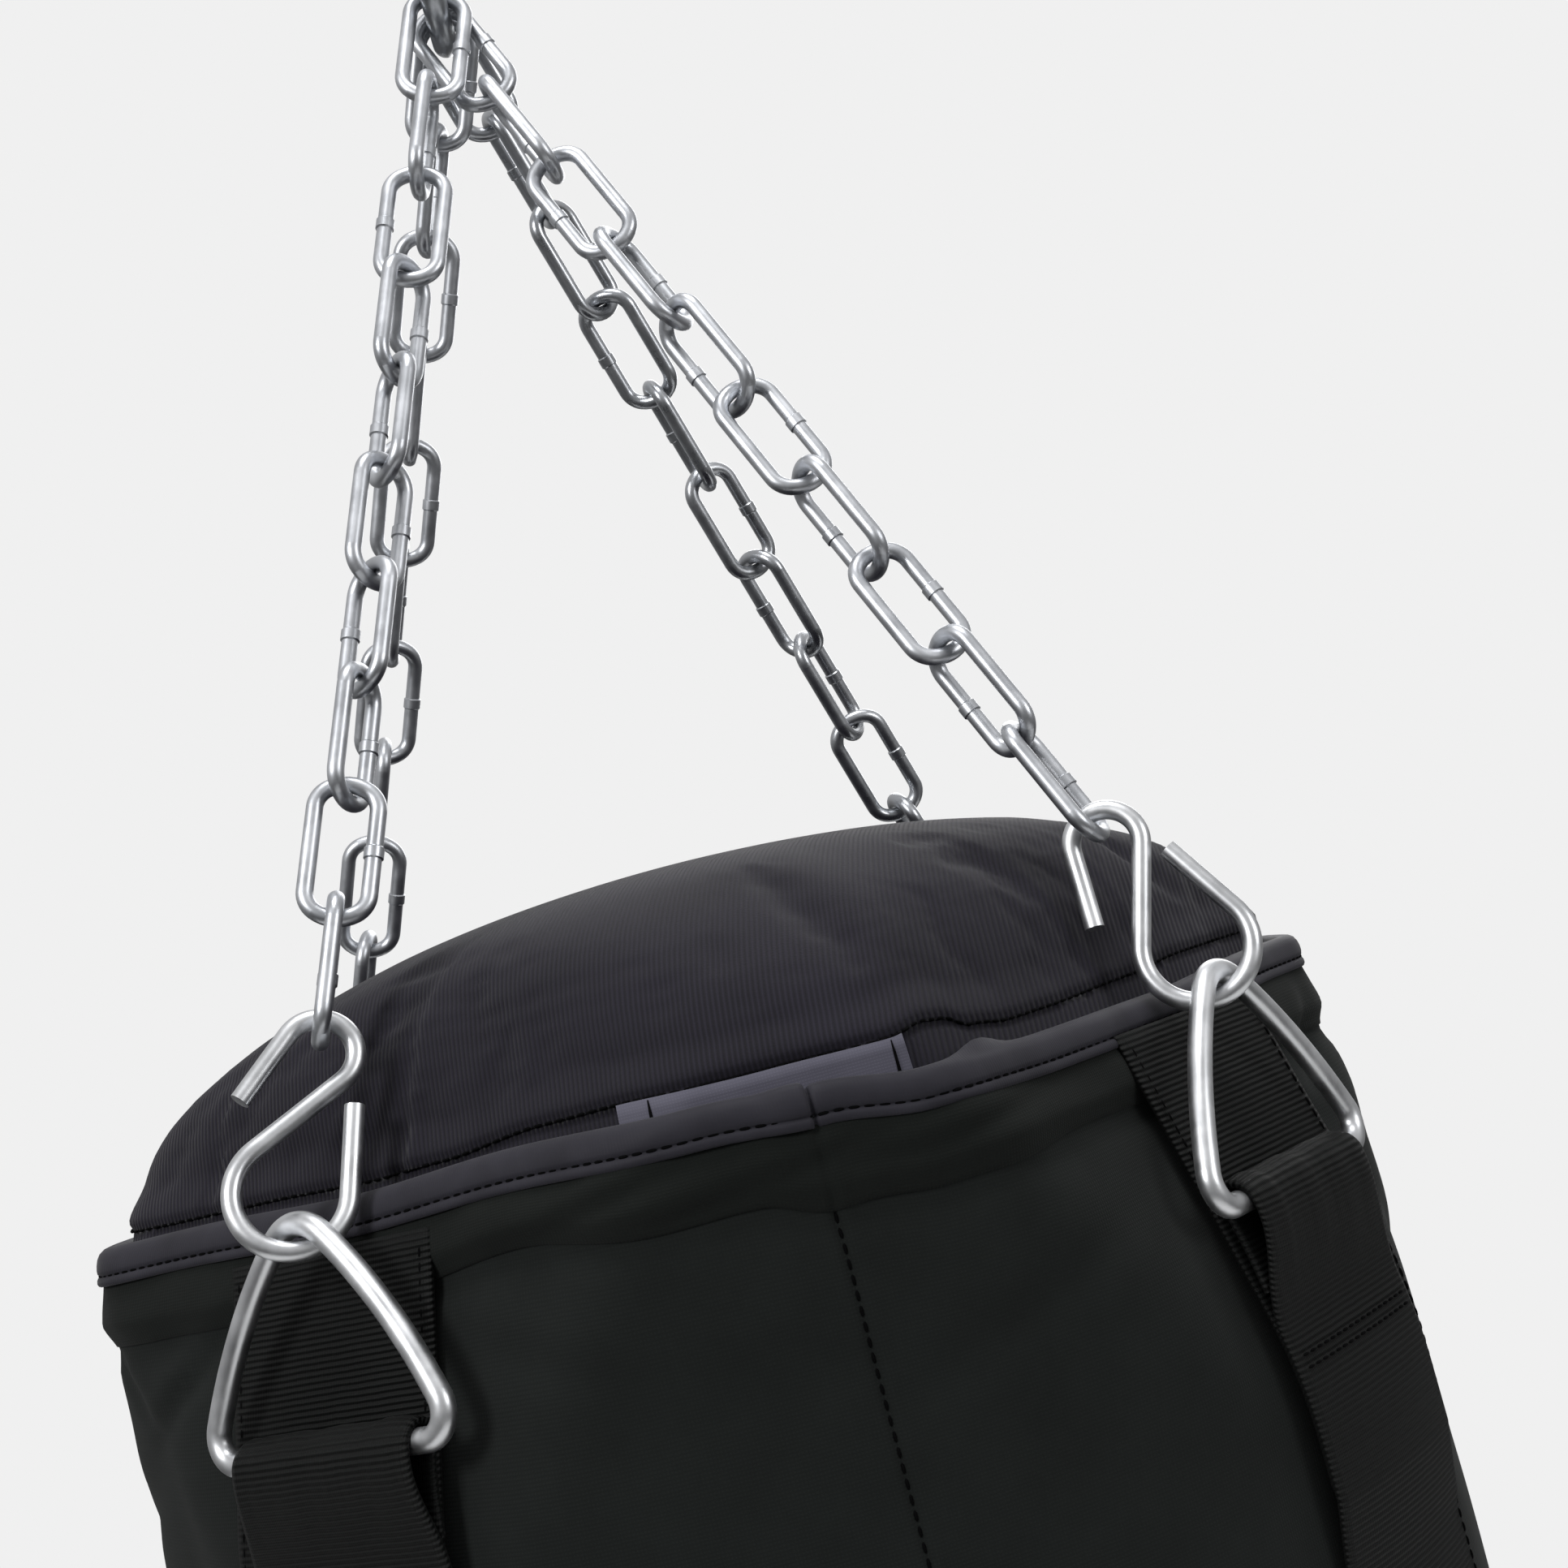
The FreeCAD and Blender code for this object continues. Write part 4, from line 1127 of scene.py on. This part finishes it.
    def patch(self) -> Object:
        """Grey lining patch between the cap and the tape, at the front.

        Returns:
            The piece.
        """
        form, foot = self.form, 12.0
        azimuth = np.arange(self.patch_from, self.patch_to + 0.1, 0.35)
        top = self.seam_height(azimuth) - 0.1
        rows = Rows()
        face = [(self.inset - 0.4, t) for t in np.linspace(0, 1, 9)]
        back = [(self.inset + 0.2, t) for t in np.linspace(1, 0, 4)]
        for inset, t in face + back:
            height = -foot + (top + foot) * t
            ripple = 0.22 * lumps(azimuth * 3, t * 9, 9, 3.3)
            out = form.reach(azimuth, -height, -inset + ripple)
            rows.add(polar(azimuth, out, form.rim + height), azimuth * self.degree, height)
        return rows.piece("closure_patch", closed=False)

    def build(self, looks: Wardrobe) -> None:
        """Make and dress the cover and its patch.

        Args:
            looks: The finishes.
        """
        cover = settle(self.cover(), looks.cap_cloth, ["cap_cover"])
        settle(self.pad(), looks.foam, ["cap_pad"])
        settle(self.patch(), looks.lining, ["closure_tab"])


# ---------------------------------------------------------------- straps


@dataclass
class Strap:
    """One webbing strap: the length down the bag, its loop round the ring's bar and the backing behind it."""

    form: BagForm
    leg: str
    width: float = 66.0
    thick: float = 2.2
    loop_width: float = 61.0     # gathered round the bar
    end_lift: float = 40.0       # its foot stands this far above the base
    tail: float = 72.0           # drop of its upper end, behind the ring
    backing_width: float = 72.0
    backing_shift: float = 0.0   # the backing is sewn this far to the right of the loop
    backing_offset: float = 1.9
    backing_top: float = 6.0
    backing_foot: float = 120.0
    lift_off: float = 84.0       # drop at which it leaves the backing for the bar
    play: float = 0.45
    bar_wire: float = 6.0
    spots: int = 37              # across its width

    def __post_init__(self) -> None:
        """Read where the ring's bar lies."""
        x, y, z = JOINTS[f"ring_rock_{self.leg}"]["pos_m"]
        self.azimuth = self.form.legs[self.leg]
        self.bar_drop = self.form.rim - z / MM
        self.bar_out = math.hypot(x, y) / MM - (self.form.flat + self.form.slope * self.bar_drop)
        self.lying = self.backing_offset + self.thick + 0.15 + self.thick / 2  # middle, on the backing
        self.length = self.form.rim - self.form.base - self.end_lift

    def place(
        self, across: np.ndarray | float, offset: np.ndarray | float, drop: np.ndarray | float
    ) -> np.ndarray:
        """Places on or off the bag beside the strap's middle line.

        Args:
            across: Distance from the strap's middle line, to the right seen from outside.
            offset: Outward from the shell.
            drop: Below the rim.

        Returns:
            Places in millimetres.
        """
        form = self.form
        base = smooth_min(form.flat + form.slope * drop + 0 * across, form.radius, form.soft)
        azimuth = self.azimuth + np.degrees(np.arctan2(across, base + offset))
        return polar(azimuth, form.reach(azimuth, drop, offset), form.rim - drop + 0 * across)

    def line(self) -> np.ndarray:
        """The strap's path, as (offset, drop) of its middle, from its foot up, over the bar and down behind.

        Returns:
            Offsets from the shell and drops below the rim.
        """
        reach = self.bar_wire / 2 + self.play + self.thick / 2
        out, low, top, foot = self.bar_out, self.lying, self.lift_off, self.backing_foot
        flat = self.backing_offset - 1.2 + self.thick / 2
        down = [(flat, d) for d in np.arange(self.length, foot + 22, -12.0)]
        down += [(low, d) for d in np.arange(foot + 2, top + 2, -5.0)]
        rise = [
            (low + (out + reach - low) * float(ease(t, 0, 1)), top - (top - self.bar_drop) * t)
            for t in np.linspace(0, 1, 16)
        ]
        angles = np.linspace(0.15, math.pi - 0.1, 14)
        turn = [(out + reach * math.cos(a), self.bar_drop - reach * math.sin(a)) for a in angles]
        back = [(out - reach, d) for d in np.linspace(self.bar_drop + 1, self.tail, 7)]
        return np.array(down + rise + turn + back)

    def both_faces(
        self, across: np.ndarray, faces: Sequence[tuple[np.ndarray, np.ndarray]], run: float,
        shift: float = 0.0,
    ) -> tuple[np.ndarray, np.ndarray]:
        """One closed row round the webbing's section.

        Args:
            across: Distances from the strap's middle line.
            faces: Offset and drop of the outer face, then of the inner face.
            run: Place along the webbing.
            shift: Moves the row to the right.

        Returns:
            Places in millimetres, and places on the cloth.
        """
        ways = (slice(None), slice(None, None, -1))
        points = [self.place(across + shift, *face)[way] for face, way in zip(faces, ways)]
        cloth = [np.stack([across, np.full_like(across, run)], axis=1)[way] for way in ways]
        return np.concatenate(points), np.concatenate([*cloth, cloth[0][:1]])

    def webbing(self) -> Object:
        """The strap as a closed strip with gathers at the bar.

        Returns:
            The piece.
        """
        path = self.line()
        ahead = np.gradient(path, axis=0)
        ahead /= np.linalg.norm(ahead, axis=1)[:, None]
        normal = np.stack([-ahead[:, 1], ahead[:, 0]], axis=1)
        looped = 1 - ease(path[:, 1], self.bar_drop + 6, self.bar_drop + 30)
        share = np.linspace(-1, 1, self.spots)
        edge = np.minimum(1.0, (1 - np.abs(share)) / 0.05)
        seed = self.azimuth / 10
        rows = []
        for (out, drop), (nx, ny), loop, run in zip(path, normal, looped, along(path)):
            across = share * 0.5 * (self.width + (self.loop_width - self.width) * loop)
            pleats = 0.4 * lumps(across, run * 0.10, 9.0, seed)
            pleats = loop * (pleats + 0.15 * lumps(across, 0, 3.4, seed + 5))
            sag = loop * 0.8 * share**2
            off = [s * self.thick / 2 * (0.55 + 0.45 * edge) + pleats - sag * 0.3 for s in (1.0, -1.0)]
            rows.append(self.both_faces(across, [(out + nx * t, drop + ny * t) for t in off], run))
        points, cloth = (np.array(part) for part in zip(*rows))
        return grid_object(f"webbing_{self.leg}", points, cloth, closed=True, capped=True)

    def backing(self) -> Object:
        """Flat webbing sewn to the bag behind the ring.

        Returns:
            The piece.
        """
        drops = np.concatenate([np.arange(self.backing_top, self.backing_foot, 4.0), [self.backing_foot]])
        share = np.linspace(-1, 1, 33)
        across = share * self.backing_width / 2
        edge = np.minimum(1.0, (1 - np.abs(share)) / 0.05)
        base = self.backing_offset + self.thick / 2
        half = self.thick / 2 * (0.55 + 0.45 * edge)
        rows = []
        for drop in drops[::-1]:
            ripple = 0.35 * lumps(across, drop, 22, self.azimuth)
            faces = [(base + half + ripple, drop), (base - half, drop)]
            rows.append(self.both_faces(across, faces, -drop, self.backing_shift))
        points, cloth = (np.array(part) for part in zip(*rows))
        return grid_object(f"backing_{self.leg}", points, cloth, closed=True, capped=True)

    def build(self, looks: Wardrobe) -> None:
        """Make and dress the strap and its backing."""
        settle(self.webbing(), looks.webbing, [f"strap_{self.leg}"])
        settle(self.backing(), looks.webbing, [f"strap_backing_{self.leg}"])


# ---------------------------------------------------------------- stitching


@dataclass
class Stitching:
    """Every row of thread on the bag, as separate short stitches."""

    form: BagForm
    cap: Cap
    straps: Sequence[Strap]
    length: float = 2.4
    bar_length: float = 60.0   # a bar is sewn so close that it shows as one stitch
    gap: float = 1.1
    radius: float = 0.42
    sides: int = 6
    cross_drops: tuple[float, ...] = (64.0, 67.0, 88.0, 91.0)   # rows across each loop
    foot_rises: tuple[float, ...] = (6.0, 46.0)                 # rows across each strap's foot
    # (place along a stitch, fullness there)
    rings: tuple[tuple[float, float], ...] = (
        (0.0, 0.35), (0.18, 0.85), (0.5, 1.0), (0.82, 0.85), (1.0, 0.35),
    )

    def stitches(self, path: np.ndarray, length: float) -> tuple[list[np.ndarray], list[tuple[int, ...]]]:
        """Short lozenges of thread along a path.

        Args:
            path: Close places along the row.
            length: Length of one stitch.

        Returns:
            Corners and faces.
        """
        run = along(path)
        length = min(length, float(run[-1]) * 0.98)
        corners, faces = [], []
        n, last = self.sides, self.sides * (len(self.rings) - 1)
        turns = np.linspace(0, 2 * math.pi, n, endpoint=False)
        for start in np.arange(0, run[-1] - length, length + self.gap):
            spots = start + length * np.array([place for place, _ in self.rings])
            line = np.stack([np.interp(spots, run, path[:, i]) for i in range(3)], axis=1)
            ahead = line[-1] - line[0]
            ahead /= np.linalg.norm(ahead)
            side = np.cross(ahead, [0.01, 0.02, 1.0])
            side /= np.linalg.norm(side)
            lift = np.cross(side, ahead)
            base = len(corners)
            for spot, (_, fat) in zip(line, self.rings):
                for t in turns:
                    corners.append(spot + self.radius * fat * (side * math.cos(t) + lift * math.sin(t)))
            for low in range(base, base + last, n):
                for c in range(n):
                    d = (c + 1) % n
                    faces.append((low + c, low + d, low + n + d, low + n + c))
            faces.append(tuple(base + c for c in reversed(range(n))))
            faces.append(tuple(base + last + c for c in range(n)))
        return corners, faces

    def row(self, name: str, paths: Sequence[np.ndarray], bars: Sequence[np.ndarray] = ()) -> Object:
        """One piece of thread from several rows.

        Args:
            name: The piece's name.
            paths: Close places along each row of stitches.
            bars: Close places along each close-sewn bar.

        Returns:
            The piece.
        """
        corners, faces = [], []
        for path, length in [(p, self.length) for p in paths] + [(p, self.bar_length) for p in bars]:
            more, sides = self.stitches(path, length)
            faces += [tuple(len(corners) + i for i in face) for face in sides]
            corners += more
        mesh = bpy.data.meshes.new(name)
        mesh.from_pydata((np.array(corners) * MM).tolist(), [], faces)
        return add_object(name, mesh)

    def rim_rows(self) -> Object:
        """Rows along the cap's foot and along the tape.

        Returns:
            The piece.
        """
        form, cap = self.form, self.cap
        azimuth = np.arange(-180, 180.2, 0.25)
        seam = cap.seam_height(azimuth)
        cap_row = polar(azimuth, form.reach(azimuth, -seam, -cap.inset - 0.45), form.rim + seam)
        tape_row = form.surface(azimuth, 4.7, 2.75)
        ends = []
        for edge in (cap.patch_from + 2.9, cap.patch_to - 1.3):
            height = np.arange(-6.0, float(cap.seam_height(edge)), 0.4)
            ends.append(polar(edge, form.reach(edge, -height, -cap.inset + 0.5), form.rim + height))
        return self.row("rim_stitches", [cap_row, tape_row], ends)

    def seam_rows(self, shell: Shell) -> Object:
        """Thread that shows in the side seam.

        Args:
            shell: The shell, whose seam and creases the thread follows.

        Returns:
            The piece.
        """
        form = self.form
        drop = np.arange(26, round(form.rim - form.base) - 30, 1.0)
        out = shell.relief(form.seam, drop)
        return self.row("seam_stitches", [form.surface(form.seam, drop, out + 0.15)])

    def strap_rows(self) -> Object:
        """Rows that hold each backing, loop and strap end.

        Returns:
            The piece.
        """
        paths = []
        margin, skin = 3.0, 2.95  # rows from the webbing's edge; its face off the shell where it lies on it
        for strap in self.straps:
            half = strap.backing_width / 2 - margin
            face = strap.backing_offset + strap.thick - 0.1
            drop = np.arange(10.0, 116.0, 1.0)
            paths += [strap.place(side * half + strap.backing_shift, face, drop) for side in (-1, 1)]
            half = strap.width / 2 - margin
            across = np.linspace(-half, half, 60)
            outer = strap.lying + strap.thick / 2 + 0.15
            cross_rows = [(drop, outer) for drop in self.cross_drops]
            cross_rows += [(strap.length - up, skin) for up in self.foot_rises]
            paths += [strap.place(across, out, drop) for drop, out in cross_rows]
            drop = np.arange(130.0, strap.length - 5, 1.0)
            paths += [strap.place(side * half, skin, drop) for side in (-1, 1)]
        return self.row("strap_stitches", paths)

    def build(self, looks: Wardrobe, shell: Shell) -> None:
        """Make and dress the thread.

        Args:
            looks: The finishes.
            shell: The shell, whose seam and creases the thread follows.
        """
        settle(self.rim_rows(), looks.thread)
        settle(self.seam_rows(shell), looks.thread)
        settle(self.strap_rows(), looks.thread)


# ---------------------------------------------------------------- steel, filling, studio


@dataclass
class Steelwork:
    """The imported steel: its shapes stay, and get their plating."""

    def build(self, looks: Wardrobe) -> None:
        """Dress hooks, rings, chains, swivel and snap hook.

        Args:
            looks: The finishes.
        """
        kinds = ("s_hook", "triangle_ring")
        wires = {f"{kind}_{leg}": looks.bright_zinc for leg in LEGS for kind in kinds}
        # the rear chain takes the darker zinc copy: painted shade
        chains = {f"chain_{leg}": looks.chain_zinc for leg in LEGS} | {"chain_back_right": looks.rear_zinc_painted_shade}
        hook = {name: looks.bright_zinc for name in ("snap_hook", "snap_hook_gate", "gate_pin")}
        swivel = {name: looks.swivel_zinc for name in ("swivel_yoke", "swivel_eye")}
        dress_nodes(wires | chains | hook | swivel | {"gate_spring": looks.spring})


@dataclass
class Filling:
    """What is inside the bag and under its base."""

    def build(self, looks: Wardrobe) -> None:
        """Dress the inner nodes."""
        foams = {"foam_liner": looks.foam, "base_foam": looks.foam}
        dress_nodes(foams | {"textile_filling": looks.textile, "base_panel": looks.board})


@dataclass(frozen=True)
class Viewpoint:
    """Where the camera stands and how it is turned."""

    place: tuple[float, float, float] = (3.3, -720.7, -438.0)
    yaw: float = 2.94
    pitch: float = 4.29
    roll: float = -15.03
    lens: float = 57.05

    def build(self) -> None:
        """Make the camera."""
        yaw, pitch, roll = (math.radians(v) for v in (self.yaw, self.pitch, self.roll))
        ahead = Vector((math.sin(yaw) * math.cos(pitch), math.cos(yaw) * math.cos(pitch), math.sin(pitch)))
        right = ahead.cross(Vector((0, 0, 1))).normalized()
        up = right.cross(ahead)
        turned_right = right * math.cos(roll) + up * math.sin(roll)
        turned_up = up * math.cos(roll) - right * math.sin(roll)
        data = bpy.data.cameras.new("camera")
        data.lens, data.sensor_width, data.clip_start = self.lens, 36.0, 0.01
        camera = bpy.data.objects.new("camera", data)
        bpy.context.scene.collection.objects.link(camera)
        axes = Matrix((turned_right, turned_up, -ahead)).transposed().to_4x4()
        camera.matrix_world = Matrix.Translation(Vector(self.place) * MM) @ axes
        bpy.context.scene.camera = camera


@dataclass(frozen=True)
class Studio:
    """Pale floor, pale surround and soft lamps."""

    surround: str = "#f0f0f0"
    ambient: float = 0.75

    def lamp(
        self, name: str, place: Sequence[float], aim: Sequence[float], size: float, power: float
    ) -> None:
        """One square soft lamp.

        Args:
            name: Its name.
            place: Where it stands, in metres.
            aim: What it points at, in metres.
            size: Its side, in metres.
            power: Watts.
        """
        data = bpy.data.lights.new(name, "AREA")
        data.shape, data.size, data.energy = "SQUARE", size, power
        lamp = bpy.data.objects.new(name, data)
        lamp.location = place
        lamp.rotation_euler = (Vector(aim) - Vector(place)).to_track_quat("-Z", "Y").to_euler()
        bpy.context.scene.collection.objects.link(lamp)

    def build(self) -> None:
        """Make the floor, the surround and the lamps."""
        scene = bpy.context.scene
        scene.view_settings.view_transform = "Standard"
        world = scene.world or bpy.data.worlds.new("surround")
        scene.world = world
        world.use_nodes = True
        tree = world.node_tree
        tree.nodes.clear()
        colour = linear(self.surround)
        seen = add(tree, "ShaderNodeBackground", {"Color": colour, "Strength": 1.0})
        facing = add(tree, "ShaderNodeTexCoord").outputs["Generated"]
        height = add(tree, "ShaderNodeSeparateXYZ", {"Vector": facing}).outputs["Z"]
        level = add(tree, "ShaderNodeMapRange", {
            "Value": height, "From Min": -0.6, "From Max": 0.7,
            "To Min": self.ambient * 0.12, "To Max": self.ambient,
        }, interpolation_type="SMOOTHSTEP")
        fill = add(tree, "ShaderNodeBackground", {"Color": colour, "Strength": level.outputs["Result"]})
        path = add(tree, "ShaderNodeLightPath")
        mix = add(tree, "ShaderNodeMixShader",
                  {"Fac": path.outputs["Is Camera Ray"], 1: fill.outputs[0], 2: seen.outputs[0]})
        add(tree, "ShaderNodeOutputWorld", {"Surface": mix.outputs[0]})
        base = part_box("bag_shell")[0].z
        mesh = bpy.data.meshes.new("floor")
        work = bmesh.new()
        bmesh.ops.create_circle(work, cap_ends=True, segments=96, radius=1.3)
        work.to_mesh(mesh)
        work.free()
        floor = bpy.data.objects.new("floor", mesh)
        floor.location = (0, 0, base - 0.002)
        scene.collection.objects.link(floor)
        dress(floor, Grained("pale_matt_floor", "#e9e9e8", 0.9, "#e4e4e3", grain=40.0, depth=0.1).build())
        middle = (0, 0, -0.55)
        self.lamp("key", (-1.3, -1.5, 0.7), middle, 0.6, 34)
        self.lamp("fill", (1.6, -1.2, 0.1), middle, 0.7, 12)
        self.lamp("top", (0.2, -0.3, 1.3), middle, 0.8, 20)
        self.lamp("back", (0.6, 1.7, 0.3), middle, 1.2, 16)


def main() -> None:
    """Build every piece in order."""
    logging.basicConfig(level=logging.INFO, format="%(name)s: %(message)s")
    Viewpoint().build()
    looks = Wardrobe()
    form = BagForm()
    Steelwork().build(looks)
    Filling().build(looks)
    shell = Shell(form)
    shell.build(looks)
    Binding(form).build(looks)
    cap = Cap(form)
    cap.build(looks)
    shifts = {"front_left": -8.0, "front_right": 6.0, "back_right": -4.0, "back_left": 4.0}
    straps = [Strap(form, leg, backing_shift=shifts[leg]) for leg in LEGS]
    for strap in straps:
        strap.build(looks)
    Stitching(form, cap, straps).build(looks, shell)
    Studio().build()


if __name__ == "__main__":
    main()
